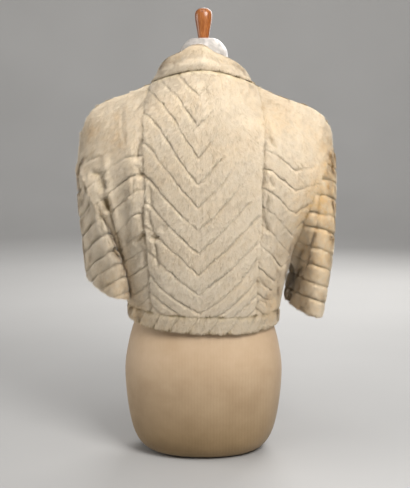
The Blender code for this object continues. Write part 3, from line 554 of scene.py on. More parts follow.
# Yellowed places of the fur: x, y, z, radius, strength
YELLOWED = (
    (0.240, -0.060, 0.510, 0.060, 1.00),
    (0.225, -0.070, 0.430, 0.060, 0.75),
    (0.215, -0.060, 0.330, 0.060, 0.45),
    (0.243, -0.030, 0.560, 0.045, 0.75),
    (-0.166, -0.062, 0.655, 0.015, 0.55),
    (-0.165, -0.083, 0.630, 0.015, 0.55),
    (-0.164, -0.092, 0.605, 0.015, 0.50),
    (-0.218, -0.040, 0.620, 0.022, 0.45),
    (-0.140, -0.060, 0.275, 0.045, 0.45),
    (0.140, -0.060, 0.290, 0.040, 0.45),
    (0.130, -0.070, 0.640, 0.050, 0.30),
    (-0.170, -0.070, 0.360, 0.040, 0.20),
)

# Materials: real sizes of their patterns, in metres, and colours
FUR_TONES = (0.0, 0.18, 0.42, 0.75, 1.0)  # tones for which the fur's colours are given; the dark colours of the low tones are painted shade
FUR_COLOURS = {
    "cream": ("#3d2b18", "#937b57", "#dac8a6", "#f0e0c6", "#f8ecd8"),
    "aged": ("#3d2810", "#8f6c38", "#d8b06f", "#ecc993", "#f4d8a9"),
    "dull": ("#3d2c1c", "#8b775b", "#cebc9c", "#e4d4ba", "#eee0cb"),
}
FUR_DULLING = (  # size of the dull places, detail and roughness of their noise, noise at which they begin
    (0.012, 3.0, 0.6, 0.40),
    (0.055, 2.0, 0.5, 0.55),
)
FULLY_DULL = 0.85  # noise at which they are full
TUFT_SIZE = 0.0022
TWILL_SPACING = 0.002735  # coarser than it is, so that it shows
RIB_SPACING = 0.005922  # the same
MOTTLE_SIZE = 0.07
SHADE_HEIGHTS = (0.20, 0.02)  # the jersey keeps its colour above the first and is darker below the second: painted shade, with some soil
COVER_CREASE = 0.016
GRAIN_WIDTH = 0.0024
GRAIN_STRETCH = 0.12  # width of the grain for its length
CLOUD_SIZE = 0.6
AXIS_WAVE = 2 * math.pi / 20  # a wave texture of scale 1 repeats at this distance along an axis
DIAGONAL_WAVE = 2 * math.pi / 10 / math.sqrt(3)  # and at this one along its diagonal

# Camera and light
CAMERA_PLACE = (0.0029, -1.9, 0.66)
CAMERA_PITCH = math.radians(7.66)
CAMERA_LENS = 72.7
SWEEP_START = 3.4  # distance at which the round floor begins to sweep up into its wall
SWEEP_RADIUS = 1.4
SWEEP_STEPS = 24
WALL_HEIGHT = 3.2
FLOOR_SEGMENTS = 96
FLOOR_MIDDLE = 0.5  # radius of the flat disc in its middle
LAMPS = (  # name, place, aimed at, size, power
    ("key", (0.66, -1.12, 1.32), (0.02, 0.0, 0.50), 0.7, 26.0),
    ("fill", (-1.6, -1.8, 1.0), (0.0, 0.0, 0.40), 1.8, 3.5),
    ("side", (-1.7, 0.10, 0.80), (-0.18, 0.0, 0.50), 0.8, 8.0),
    ("top", (-0.1, -0.5, 2.0), (0.0, 0.0, 0.45), 1.2, 8.0),
    ("front", (0.7, 2.0, 1.6), (0.0, 0.0, 0.45), 1.6, 34.0),
    ("wall", (0.0, 1.4, 2.6), (0.0, 5.0, 0.9), 2.0, 60.0),
)
SKY_COLOUR = "#d6d8dc"
SKY_STRENGTH = 0.30


def through(rows, level):
    """Smooth curve through table rows, a Catmull-Rom spline, at each level; whole levels are the rows."""
    rows = np.vstack((2 * rows[0] - rows[1], rows, 2 * rows[-1] - rows[-2]))
    level = np.clip(np.asarray(level, float), 0.0, len(rows) - 3.0)
    row = np.minimum(level.astype(int), len(rows) - 4)
    t = (level - row)[..., None]
    a, b, c, d = (rows[row + k] for k in range(4))
    return 0.5 * (2 * b + (c - a) * t + (2 * a - 5 * b + 4 * c - d) * t**2 + (3 * b - a - 3 * c + d) * t**3)


def hermite(start, start_slope, end, end_slope, t):
    """Cubic from start to end that leaves and arrives with the given slopes."""
    t = t[..., None]
    return (
        start * (2 * t**3 - 3 * t**2 + 1)
        + start_slope * (t**3 - 2 * t**2 + t)
        + end * (3 * t**2 - 2 * t**3)
        + end_slope * (t**3 - t**2)
    )


def unit(vectors):
    """Each vector divided by its length."""
    return vectors / np.maximum(np.linalg.norm(vectors, axis=-1, keepdims=True), 1e-12)


def dot(first, second):
    """Scalar product of each pair of vectors, kept as a last axis of one."""
    return (first * second).sum(-1, keepdims=True)


def ease(value, low, high):
    """0 below low, 1 above high, and 3t^2 - 2t^3 between."""
    t = np.clip((np.asarray(value, float) - low) / (high - low), 0.0, 1.0)
    return t * t * (3 - 2 * t)


def sign_of(side):
    """1 on the garment's right, -1 on its left."""
    return 1.0 if side == "right" else -1.0


def ripple(points, size, seed):
    """Smooth uneven field of about that size: a mean of sine waves along seeded directions, from -1 to 1."""
    chance = np.random.default_rng(seed)
    field = np.zeros(points.shape[:-1])
    for _ in range(WAVES):
        direction = unit(chance.normal(size=3))
        length = size * chance.uniform(*WAVE_LENGTHS)
        field = field + np.sin(points @ direction * (2 * math.pi / length) + chance.uniform(0, 2 * math.pi))
    return field / math.sqrt(WAVES) / WAVE_SCALE


def uneven(points, name):
    """One of the named uneven fields: waves of its size and seed, times its strength."""
    size, seed, strength = UNEVEN[name]
    return strength * ripple(points, size, seed)


def arm_edge(face, side):
    """The armhole and side-seam guide of one face on one side, with its slopes."""
    rows = ARM_EDGE.copy()
    forwards = -1.0 if face == "back" else 1.0
    rows[:, 1] *= forwards
    rows[:, 4] *= -forwards
    share = np.clip((np.arange(len(rows)) - UNDERARM_LEVEL) / (TOP_LEVEL - UNDERARM_LEVEL), 0.0, 1.0)
    rows[:, 0] += ARM_OUT[side] * share
    rows[:, 2] += ARM_LIFT[side] * share
    rows[-1, 3:] *= CAP_SQUARE[side]
    return rows


def guides(face, side):
    """Inner, middle and arm guides of half a face, and the slopes across at each."""
    inner, middle = (CENTRE_BACK, BACK_SEAM) if face == "back" else (FRONT_EDGE, FRONT_MIDDLE)
    arm = arm_edge(face, side)
    before = inner * (-1, 1, 1) if face == "back" else inner
    slope = (arm[:, :3] - before) / 2
    neck_side, shoulder_side = slope.copy(), slope.copy()
    neck_side[-1] = NECK_SLOPE_BACK if face == "back" else NECK_SLOPE_FRONT
    shoulder_side[-1] = SHOULDER_SLOPE
    inner_slope = (middle - inner) * CENTRE_SLOPE[face]
    return inner, inner_slope, middle, neck_side, shoulder_side, arm[:, :3], arm[:, 3:]


def drape(face, side, across, level):
    """Drape surface: a cubic across from the middle guide to the seam's, and one from there to the arm's."""
    across, level = np.broadcast_arrays(np.asarray(across, float), np.asarray(level, float))
    inner, inner_slope, middle, neck_side, shoulder_side, arm, arm_slope = (
        through(rows, level) for rows in guides(face, side)
    )
    arm[..., 1] = np.where(level > UNDERARM_LEVEL, arm[..., 1], 0.0)
    near = hermite(inner, inner_slope, middle, neck_side, np.clip(across * 2, 0, 1))
    far = hermite(middle, shoulder_side, arm, arm_slope, np.clip(across * 2 - 1, 0, 1))
    points = np.where((across < 0.5)[..., None], near, far)
    return hang(points * (sign_of(side), 1, 1), level)


def hang(points, level):
    """The garment's slight tilt on the form, lower in proportion to x, and the raised neckline behind."""
    points = points.copy()
    points[..., 2] -= points[..., 0] * (TILT + HEM_TILT * (1 - ease(level, 0.0, UNDERARM_LEVEL)))
    behind = ease(-points[..., 1], *NECK_BEHIND)
    near_middle = np.exp(-((points[..., 0] / NECK_RISE_HALF) ** 2))
    points[..., 2] += NECK_RISE * behind * ease(level, NECK_RISE_LEVEL, TOP_LEVEL) * near_middle
    return points


def slopes(surface, first, second):
    """Slopes of a surface along its two parameters, by small steps to both sides."""
    along_first = surface(first + STEP, second) - surface(first - STEP, second)
    along_second = surface(first, second + STEP) - surface(first, second - STEP)
    return along_first, along_second


def face_normal(face, side, across, level):
    """Outward normal of one face's drape surface: the cross product of its slopes."""
    across = np.clip(across, STEP, 1 - STEP)
    level = np.clip(level, STEP, TOP_LEVEL - STEP)
    along, up = slopes(lambda a, b: drape(face, side, a, b), across, level)
    turn = sign_of(side) * (1.0 if face == "back" else -1.0)
    return unit(np.cross(along, up) * turn)


def fold_height(folds, across, level):
    """Soft bumps and hollows, each a bell shape in both directions."""
    height = np.zeros(np.broadcast(across, level).shape)
    for centre, middle, half_across, half_level, rise in folds:
        distance = ((across - centre) / half_across) ** 2 + ((level - middle) / half_level) ** 2
        height = height + rise * np.exp(-distance)
    return height


def crease_height(points, surface, creases):
    """Narrow creases and ridges: each a bell across its path on the surface, fading towards both ends."""
    height = np.zeros(points.shape[:2])
    share = np.linspace(0, 1, CREASE_POINTS)
    for start, end, half, rise in creases:
        path = surface(start[0] + (end[0] - start[0]) * share, start[1] + (end[1] - start[1]) * share)
        away = np.linalg.norm(points[:, :, None] - path, axis=3)
        along = share[away.argmin(2)]
        height = height + rise * np.exp(-((away.min(2) / half) ** 2)) * np.sqrt(4 * along * (1 - along))
    return height


def groove_places(place, grooves):
    """Where each groove lies at each place across a panel: straight between its corners."""
    return np.array([np.interp(place, corners, levels) for corners, levels in grooves])


def strip_count(level, lines):
    """Counts the grooves passed on the way up to each level, with an even share between two neighbours."""
    count = np.zeros(level.shape)
    for low, high in zip(lines, lines[1:]):
        count = count + np.clip((level - low) / (high - low), 0, 1)
    return count


def sleeve_loop(angle):
    """Body level of each angle of the armhole loop, which is 0 at the cap and 180 degrees under the arm."""
    share = np.where(angle <= 180, angle / 180, (360 - angle) / 180)
    return TOP_LEVEL - share * (TOP_LEVEL - UNDERARM_LEVEL)


def round_trip(stations, angle):
    """Smooth values round a sleeve: a mean, one wave and two waves that pass through its four stations."""
    outer, front, inner, back = stations
    turn = np.radians(angle)[..., None]
    mean = (outer + front + inner + back) / 4
    twice = (outer - front + inner - back) / 4
    once = (outer - inner) / 2 * np.cos(turn) + (front - back) / 2 * np.sin(turn)
    return mean + once + twice * np.cos(2 * turn)


def cuff_ring(side, angle):
    """Oval cuff, turned about the vertical and tipped along its length."""
    x, y, z, half_length, half_width, turn, rise, outer_rise = CUFFS[side]
    turn = math.radians(turn)
    ahead = np.array((math.sin(turn) * sign_of(side), math.cos(turn), 0.0))
    out = np.array((math.cos(turn) * sign_of(side), -math.sin(turn), 0.0))
    angle = np.radians(angle)[..., None]
    ring = np.array((x, y, z)) + out * half_width * np.cos(angle) + ahead * half_length * np.sin(angle)
    ring[..., 2] += (rise * np.sin(angle) + outer_rise * np.cos(angle))[..., 0]
    return ring


def sleeve(side, angle, share):
    """Sleeve surface: a cubic from each point of the armhole loop down to its point of the cuff."""
    angle, share = np.broadcast_arrays(np.asarray(angle, float), np.asarray(share, float))
    angle = angle % 360
    level = sleeve_loop(angle)
    front = through(arm_edge("front", side)[:, :3], level)
    back = through(arm_edge("back", side)[:, :3], level)
    start = hang(np.where((angle <= 180)[..., None], front, back) * (sign_of(side), 1, 1), level)
    end = cuff_ring(side, angle)
    leave = round_trip(SLEEVE_START, angle)
    leave[..., 0] += SLEEVE_OUT[side] * np.clip(np.cos(np.radians(angle)), 0, 1)
    leave[..., 0] += SLEEVE_BACK[side] * np.clip(-np.sin(np.radians(angle)), 0, 1)
    leave = leave * (sign_of(side), 1, 1)
    arrive = round_trip(SLEEVE_END, angle) * (sign_of(side), 1, 1)
    return hermite(start, 3 * leave, end, 3 * arrive, share)


def sleeve_normal(side, angle, share):
    """Outward normal of a sleeve: the cross product of its slopes."""
    share = np.clip(share, STEP, 1 - STEP)
    along, down = slopes(lambda a, b: sleeve(side, a, b), np.asarray(angle, float), share)
    return unit(np.cross(along, down) * -sign_of(side))


def arm_normal(face, side, level):
    """Direction of the pile where a body panel meets the sleeve: the mean of the two surfaces' normals."""
    share = (TOP_LEVEL - np.asarray(level, float)) / (TOP_LEVEL - UNDERARM_LEVEL)
    angle = 180 * share if face == "front" else 360 - 180 * share
    body = face_normal(face, side, np.ones_like(share), level)
    return unit(body + sleeve_normal(side, angle, np.zeros_like(share)))


def panel_normal(face, side, across, level):
    """Normal of one face, shared by the two panels that meet at across 0.5."""
    own = face_normal(face, side, across, level)
    both = face_normal(face, side, 0.5 - 2 * STEP, level) + face_normal(face, side, 0.5 + 2 * STEP, level)
    return unit(own + (unit(both) - own) * (1 - ease(np.abs(across - 0.5), 0.0, SEAM_BLEND))[..., None])


def pile_direction(face, side, across, level):
    """Direction in which the pile stands: the normal, shared with the neighbour along sewn edges."""
    across, level = np.broadcast_arrays(np.asarray(across, float), np.asarray(level, float))
    other = "front" if face == "back" else "back"
    own = panel_normal(face, side, across, level)
    above_underarm = ease(level, UNDERARM_LEVEL - UNDERARM_BLEND, UNDERARM_LEVEL)
    at_shoulder = (ease(level, TOP_LEVEL - SHOULDER_BLEND, TOP_LEVEL) * ease(across, *NECK_BLEND))[..., None]
    at_side = (ease(across, *SIDE_BLEND) * (1 - above_underarm))[..., None]
    shared = unit(own + panel_normal(other, side, np.maximum(across, 0.5), level))
    direction = own + (shared - own) * np.maximum(at_shoulder, at_side)
    at_arm = (ease(across, *ARM_BLEND) * above_underarm)[..., None]
    arm = arm_normal(face, side, np.maximum(level, UNDERARM_LEVEL))
    return unit(direction + (arm - direction) * at_arm)


def run_along(points, axis):
    """Length run along the rows or columns of a grid of points, from 0 at its start."""
    steps = np.linalg.norm(np.diff(points, axis=axis), axis=2)
    return np.concatenate((np.zeros_like(steps.take([0], axis)), np.cumsum(steps, axis)), axis)


def grid_slopes(values, points, wraps):
    """Slope of grid values per metre along the first and second direction of the grid."""
    found = []
    for axis in (0, 1):
        if axis == 0 and wraps:
            ahead, behind = np.roll(values[:-1], -1, 0), np.roll(values[:-1], 1, 0)
            change = np.concatenate((ahead - behind, (ahead - behind)[:1]))
            ahead, behind = np.roll(points[:-1], -1, 0), np.roll(points[:-1], 1, 0)
            step = np.concatenate((ahead - behind, (ahead - behind)[:1]))
        else:
            change, step = np.gradient(values, axis=axis), np.gradient(points, axis=axis)
        length = np.maximum(np.linalg.norm(step, axis=2), 1e-9)
        found.append(change / (length if values.ndim == 2 else length[..., None]))
    return found


def fur_panel(name, base, out, phase, pile, edge, edge_pile, fade, painted_shade, hair=HAIR, wraps=False):
    """All that a panel's shell and pile need, on one grid of its two parameters.

    Phase counts strips, so that a groove lies at each whole number; pile is the crest's height, edge the
    way to the nearest sewn edge, edge_pile the height there, fade the share of the groove's depth,
    painted_shade how much painted shade darkens a place, in creases and along some seams and edges, and hair
    the depth of its blades.
    """
    along, up = grid_slopes(base, base, wraps)
    normal = unit(np.cross(along, up))
    normal = normal * np.sign(dot(normal, out))
    phase = phase + uneven(base, "groove place")
    rate_along, rate_up = grid_slopes(phase, base, wraps)
    towards = rate_along[..., None] * unit(along) + rate_up[..., None] * unit(up)
    rate = np.maximum(np.linalg.norm(towards, axis=2), LEAST_RATE)
    fade = fade * np.clip(DEPTH_MEAN + uneven(base, "groove depth"), *DEPTH_RANGE)
    everywhere = np.ones(phase.shape)
    return SimpleNamespace(
        name=name, base=base, out=out, normal=normal, phase=phase, rate=rate, towards=unit(towards),
        pile=pile * everywhere, edge=edge, edge_pile=edge_pile * everywhere, fade=fade,
        painted_shade=painted_shade * everywhere, hair=hair * everywhere, wraps=wraps,
    )


def pile_profile(way, pile, edge, edge_pile, fade, half):
    """Height of the pile: a crest with a bell-shaped parting at each groove, turned down at sewn edges.

    The second value is how dark a place is: painted shade in a parting, where some darker skin also shows,
    and at a seam.
    """
    parting = np.exp(-np.abs(way / half) ** PARTING_POWER)
    height = pile - (CREST_PILE - GROOVE_PILE) * fade * parting
    turned = np.sqrt(ease(edge, EDGE_START, EDGE_TURN))
    # painted shade in the parting at a sewn edge
    seam = SEAM_DARK * np.exp(-((edge / SEAM_HALF) ** 2))
    return edge_pile + (height - edge_pile) * turned, np.maximum(parting * fade, seam)


def groove_way(phase, rate):
    """Signed way to the nearest groove, in metres."""
    return (phase - np.round(phase)) / rate


def quads(ids):
    """Corners of the grid's cells, one row of four for each cell."""
    return np.stack((ids[:-1, :-1], ids[1:, :-1], ids[1:, 1:], ids[:-1, 1:]), axis=-1).reshape(-1, 4)


def make_object(name, points, faces, materials, slot=None):
    """A smooth mesh object at the origin; with a slot of the record it rides on the part's body."""
    mesh = bpy.data.meshes.new(name)
    mesh.from_pydata(points.reshape(-1, 3).tolist(), [], faces)
    for finish in materials:
        mesh.materials.append(finish)
    mesh.shade_smooth()
    obj = bpy.data.objects.new(name, mesh)
    bpy.context.scene.collection.objects.link(obj)
    if slot:
        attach(obj, "root")
    return obj


def set_values(mesh, name, values):
    """A number for each point of the mesh, which its material reads."""
    layer = mesh.attributes.new(name, "FLOAT", "POINT")
    layer.data.foreach_set("value", np.ascontiguousarray(values, np.float32).ravel())


def face_outwards(mesh):
    """Turns the faces of a closed mesh outwards."""
    work = bmesh.new()
    work.from_mesh(mesh)
    bmesh.ops.recalc_face_normals(work, faces=work.faces)
    work.to_mesh(mesh)
    work.free()


def yellowing(points):
    """How yellowed the fur is: bell-shaped spots over a faint uneven field."""
    amount = YELLOW_ALL + uneven(points, "yellow")
    for x, y, z, radius, strength in YELLOWED:
        away = np.linalg.norm(points - (x, y, z), axis=-1) / radius
        amount = amount + strength * np.exp(-away**2)
    return np.clip(amount, 0, 1)


def fur_shell(panel, finishes):
    """Closed thin shell: the drape surface inside, and the pile's height less the blades' depth outside."""
    way = groove_way(panel.phase, panel.rate)
    half = GROOVE_HALF * SHELL_GROOVE
    height, _ = pile_profile(way, panel.pile, panel.edge, panel.edge_pile, panel.fade, half)
    height = np.maximum(height - panel.hair * FOOT_DEPTH, SHELL_LEAST)
    outer = panel.base + panel.out * height[..., None]
    rows, columns = panel.phase.shape
    outer_ids = np.arange(rows * columns).reshape(rows, columns)
    if panel.wraps:
        outer_ids[-1] = outer_ids[0]
    inner_ids = outer_ids + rows * columns
    rims = [np.stack((outer_ids[:, k], inner_ids[:, k]), axis=1) for k in (0, -1)]
    if not panel.wraps:
        rims += [np.stack((outer_ids[k], inner_ids[k]), axis=1) for k in (0, -1)]
    faces = np.concatenate([quads(outer_ids), *(quads(rim) for rim in rims), quads(inner_ids)])
    inside = np.arange(len(faces)) >= len(faces) - len(quads(inner_ids))
    points = np.concatenate((outer.reshape(-1, 3), panel.base.reshape(-1, 3)))
    used, place = np.unique(faces, return_inverse=True)
    corners = place.reshape(faces.shape).tolist()
    obj = make_object(panel.name + "_shell", points[used], corners, finishes, "fur")
    obj.data.polygons.foreach_set("material_index", inside.astype(np.int32))
    face_outwards(obj.data)
    # painted shade: the shell is darker than the blades' tips, except where it is bare, and darker still
    # where shade is painted
    bare = np.clip(1 - panel.hair / HAIR, 0, 1)
    tone = (SHELL_TONE + (BARE_TONE - SHELL_TONE) * bare) * (1 - panel.painted_shade)
    tone = np.concatenate((tone.ravel(), np.full(tone.size, SHELL_TONE)))
    set_values(obj.data, "tone", tone[used])
    set_values(obj.data, "yellow", yellowing(points[used]))
    return obj


def sample(values, across, up):
    """Grid values at places between the grid's lines, by straight blends of the four nearest."""
    i = np.minimum(across.astype(int), values.shape[0] - 2)
    j = np.minimum(up.astype(int), values.shape[1] - 2)
    s, t = across - i, up - j
    if values.ndim == 3:
        s, t = s[:, None], t[:, None]
    low = values[i, j] * (1 - s) + values[i + 1, j] * s
    high = values[i, j + 1] * (1 - s) + values[i + 1, j + 1] * s
    return low * (1 - t) + high * t


def blade_places(panel):
    """Grid places of the blades' feet: a chance place in each even cell, thinned where the panel narrows."""
    rows, columns = panel.phase.shape
    surface = panel.base + panel.out * panel.pile[..., None]
    across_size = run_along(surface, 0)[-1]
    up_size = run_along(surface, 1)[:, -1]
    count = round(across_size.max() / BLADE_SPACING), round(up_size.max() / BLADE_SPACING)
    cells = np.stack(np.meshgrid(np.arange(count[0]), np.arange(count[1]), indexing="ij"), -1).reshape(-1, 2)
    places = (cells + RANDOM.uniform(0, 1, cells.shape)) / count
    across, up = places[:, 0] * (rows - 1), places[:, 1] * (columns - 1)
    widths = (across_size / across_size.max())[None].repeat(2, 0)
    kept = RANDOM.uniform(0, 1, len(places)) < sample(widths, np.zeros(len(places)), up)
    kept &= sample(panel.hair, across, up) > BARE_HAIR
    return across[kept], up[kept]


def flat_map(mesh, number):
    """The coat's flat map, on which each pair of blades fills the two halves of a square cell."""
    cells_wide = math.ceil(math.sqrt(number / 2))
    pair = np.arange(number) // 2
    corner = np.stack((pair % cells_wide, pair // cells_wide), axis=1)[:, None]
    corner = corner + np.array((LOWER_HALF, UPPER_HALF))[np.arange(number) % 2]
    layer = mesh.uv_layers.new(name="OFBake")
    layer.uv.foreach_set("vector", (corner / cells_wide).astype(np.float32).ravel())


def fur_coat(panel, finish):
    """Blades of pile: one triangle each, its foot on the shell, its tip at the pile's height along the nap.

    A blade leans over from the normal along the downward nap, more in some places than in others, and its
    normals follow the garment's form so that the coat shades as one surface.
    """
    across, up = blade_places(panel)
    number = len(across)

    def here(values):
        return sample(values, across, up)

    way = groove_way(here(panel.phase), here(panel.rate))
    shape = [here(v) for v in (panel.pile, panel.edge, panel.edge_pile, panel.fade)]
    height, parting = pile_profile(way, *shape, GROOVE_HALF)
    beyond, _ = pile_profile(np.abs(way) + STEP, *shape, GROOVE_HALF)
    steep = np.sign(way) * (beyond - height) / STEP
    out, normal = unit(here(panel.out)), unit(here(panel.normal))
    depth = np.minimum(here(panel.hair), height * MOST_DEPTH)
    foot = here(panel.base) + out * (height - depth)[:, None]
    relief = unit(normal - unit(here(panel.towards)) * np.clip(steep, -STEEPEST, STEEPEST)[:, None])

    sideways = PULL_OUT * np.tanh(foot[:, 0] / PULL_HALF)
    pull = np.stack((sideways, np.full(number, PULL_BACK), np.full(number, -1.0)), axis=1)
    nap = unit(pull - normal * dot(pull, normal))
    beside = np.cross(normal, nap)
    swirl = uneven(foot, "swirl") + RANDOM.normal(0, SWIRL_SPREAD, number)
    nap = nap * np.cos(swirl)[:, None] + beside * np.sin(swirl)[:, None]
    lean = LEAN + LEAN_ABOVE * ease(normal[:, 2], *FACING_UP)
    lean = lean + uneven(foot, "lean") + RANDOM.normal(0, LEAN_SPREAD, number)
    lean = np.clip(lean, *LEAN_RANGE)[:, None]
    direction = normal * np.cos(lean) + nap * np.sin(lean)
    length = depth * RANDOM.uniform(*BLADE_LENGTHS, number) / np.cos(np.minimum(lean[:, 0], LONG_LEAN))
    tip = foot + direction * length[:, None]
    flat = unit(np.cross(direction, normal))
    half = flat * (BLADE_WIDTH * RANDOM.uniform(*BLADE_HALVES, number))[:, None]
    points = np.stack((foot - half, foot + half, tip), axis=1).reshape(-1, 3)
    faces = np.arange(number * 3).reshape(-1, 3)
    obj = make_object(panel.name + "_pile", points, faces.tolist(), [finish], "fur")

    own = unit(np.cross(flat, direction))
    locks = np.stack([ripple(foot, LOCK_SIZE, seed) for seed in LOCK_SEEDS], axis=1)
    chance = RANDOM.normal(0, SHADE_SPREAD, (number, 3))
    shading = unit(relief * FORM_SHADE + own * OWN_SHADE + LOCK_SHADE * locks + chance)
    obj.data.normals_split_custom_set_from_vertices(shading.repeat(3, 0))
    # painted shade within the pile: each blade is darker at its foot than at its tip, partly for the darker
    # underfur
    tone = np.tile((FOOT_TONE, FOOT_TONE, 1.0), (number, 1)) + RANDOM.normal(0, TONE_SPREAD, (number, 1))
    # painted shade: darker in a parting and where shade is painted into the panel
    tone = tone * (1 - PARTING_DARK * parting[:, None]) * (1 - PAINTED_SHADE_DARK * here(panel.painted_shade)[:, None])
    tone = tone * (1 + uneven(foot, "lock tone")[:, None])
    set_values(obj.data, "tone", np.clip(tone, 0, 1))
    set_values(obj.data, "yellow", yellowing(points))
    flat_map(obj.data, number)
    return obj


def columns_between(low, high, width, knots=()):
    """Even values between two ends about one mesh size apart, with the knots among them."""
    count = max(LEAST_COLUMNS, round(width / GRID_STEP))
    return np.unique(np.concatenate((np.linspace(low, high, count), [k for k in knots if low < k < high])))


def seam_hidden(level, levels):
    """1 where a seam is brushed over, between the middle two of four levels, and 0 outside the outer two."""
    start, full, still, end = levels
    return ease(level, start, full) * (1 - ease(level, still, end))


def crease_shade(height):
    """Painted shade in a crease: how much darker it is, from its depth."""
    return ease(-height, *CREASE_DARK)


def ragged(points):
    """Painted shade of a ragged parting, which differs from place to place along it."""
    return np.clip(RAGGED_MEAN + uneven(points, "ragged"), *RAGGED_RANGE)


def ragged_line(way, points):
    """Painted shade along a seam: full at the seam, uneven along it, gone some millimetres away."""
    return np.exp(-((way / RAGGED_HALF) ** 2)) * ragged(points)


def body_panel(name, face, side, ends, width, grooves, folds, creases):
    """One fur panel of the body from the band to the neckline or shoulder; side may be both for the back."""
    low, high = BAND_LEVEL + BAND_INSET, TOP_LEVEL - TOP_INSET
    across, level = np.meshgrid(
        columns_between(ends[0] + SEAM_INSET, ends[1] - SEAM_INSET, width, (CENTRE_POINT, 0.0)),
        np.linspace(low, high, BODY_ROWS),
        indexing="ij",
    )

    def sided(function):
        if side != "both":
            return function(face, side, across, level)
        left, right = (function(face, half, np.abs(across), level) for half in ("left", "right"))
        return np.where((across < 0)[..., None], left, right)

    plain, out = sided(drape), sided(pile_direction)
    lift = fold_height(folds, across, level) * (1 - ease(np.abs(across), *FOLD_MARGIN))
    lift = lift * ease(level, low, low + FOLD_RUN) * (1 - ease(level, high - FOLD_RUN, high))
    crease_side = "left" if side == "both" else side
    crease = crease_height(plain, lambda a, b: drape(face, crease_side, a, b), creases)
    crease = crease * (1 - ease(across, *CREASE_MARGIN))
    base = plain + out * (lift + crease)[..., None]

    height, run = run_along(plain, 1), run_along(plain, 0)
    below_top = height[:, -1:] - height
    hidden = seam_hidden(level, HIDDEN_SEAM) * ((face, side) == ("back", "left"))
    soft = SOFT_EDGE * seam_hidden(level, SOFT_SEAM) * (face == "back") * (side != "right")
    edge = np.minimum.reduce((run + soft, run[-1] - run + HIDDEN_EDGE * hidden, height, below_top))
    above_underarm = ease(level, *(UNDERARM_LEVEL + run_in for run_in in ARM_PILE_RUN))
    near_underarm = 1 - ease(np.abs(level - UNDERARM_LEVEL), *TIGHT_RUN)
    at_arm, tight = ((np.abs(across) > NEAR_ARM) * share for share in (above_underarm, near_underarm))
    edge_pile = EDGE_PILE + (ARM_EDGE_PILE - EDGE_PILE) * at_arm + (UNDERARM_PILE - EDGE_PILE) * tight

    phase = strip_count(level, groove_places(across, grooves))
    fade = 1 - (1 - CAP_GROOVE) * ease(level, *CAP_FADE)
    if side == "both":
        start = np.interp(level, *CENTRE_FADE.T)
        fade = 1 - (1 - CAP_GROOVE) * ease(across - start, *CENTRE_RUN)
    elif face == "back":
        corners = np.array([(levels[1], places[1]) for places, levels in grooves])
        past_point = ease(across - np.interp(level, *corners.T), 0.0, POINT_RUN)
        fade = fade * (1 - past_point * (1 - ease(level, *MARGIN_LEVELS)))
    at_neck = (np.abs(across) < 0.5) * (face == "back")
    # painted shade: in the creases, in a ragged line under the collar along the back's neckline, and along
    # the hem band
    painted_shade = np.maximum.reduce((
        crease_shade(crease), ragged_line(below_top, base) * at_neck, ragged_line(height, base)
    ))
    return fur_panel(name, base, out, phase, CREST_PILE, edge, edge_pile, fade, painted_shade)


def sleeve_panel(side):
    """A three-quarter sleeve: a tube from the armhole to the cuff; its strips rise towards the inner line."""
    columns, rows = SLEEVE_GRID
    angle, share = np.meshgrid(np.linspace(0, 360, columns), np.linspace(0, 1, rows), indexing="ij")
    plain = sleeve(side, angle, share)
    level = sleeve_loop(angle)
    front, back = (arm_normal(face, side, level) for face in ("front", "back"))
    seam = np.where((angle <= 180)[..., None], front, back)
    at_seam = (1 - ease(share, 0.0, SEAM_TURN))[..., None]
    own = sleeve_normal(side, angle, share)
    out = unit(own + (seam - own) * at_seam)
    folds = SLEEVE_FOLDS[side]
    lift = fold_height(folds, angle, share) + fold_height(folds, angle + 360, share)
    crease = crease_height(plain, lambda a, b: sleeve(side, a, b), SLEEVE_CREASES[side])
    away = unit(plain[:, SEAM_ROWS] - plain[:, 0])[:, None]
    rise = (lift + crease) * ease(share, 0.0, FOLD_START)
    base = plain + away * SLEEVE_SEAM_SHIFT * at_seam + out * rise[..., None]

    grooves = [(SLEEVE_REACH, row) for row in SLEEVE_GROOVES[side]]
    height = plain[..., 2] + SLEEVE_TIP * plain[..., 1]
    phase = strip_count(height, groove_places(np.abs(plain[..., 0]), grooves))
    fade = SLEEVE_GROOVE * (1 - CAP_BRUSHED * (side == "left") * (1 - ease(share, *CAP_RETURN)))
    down = run_along(plain, 1)
    inner_side = 1 - ease(np.abs(angle - 180), *INNER_ANGLES)
    hidden = seam_hidden(level, HIDDEN_SEAM) * (angle > 180) * (side == "left")
    edge = np.minimum(down[:, -1:] - down, down + HIDDEN_EDGE * hidden)
    edge_pile = EDGE_PILE + (UNDERARM_PILE - EDGE_PILE) * inner_side * (share < 0.5)
    pile = CREST_PILE * (1 - INNER_FLAT * inner_side)
    # painted shade along the right arm seam, which joins that of the sleeve's creases
    seam_line = ARM_SEAM_DARK * ragged_line(down, base) * (angle > 180) * (side == "right")
    painted_shade = np.maximum(crease_shade(crease), seam_line)
    return fur_panel(f"sleeve_{side}", base, out, phase, pile, edge, edge_pile, fade, painted_shade, wraps=True)


def around_body(function, place, level):
    """A body function round the hem: place is 0 at the centre back, 1 at the side seams and 2 in front."""
    reach = np.abs(place)
    found = np.zeros((*place.shape, 3))
    for face, across in (("back", np.clip(reach, 0, 1)), ("front", np.clip(2 - reach, 0, 1))):
        for side in ("left", "right"):
            here = ((reach <= 1) == (face == "back")) & ((place >= 0) == (side == "right"))
            found = np.where(here[..., None], function(face, side, across, level), found)
    return found


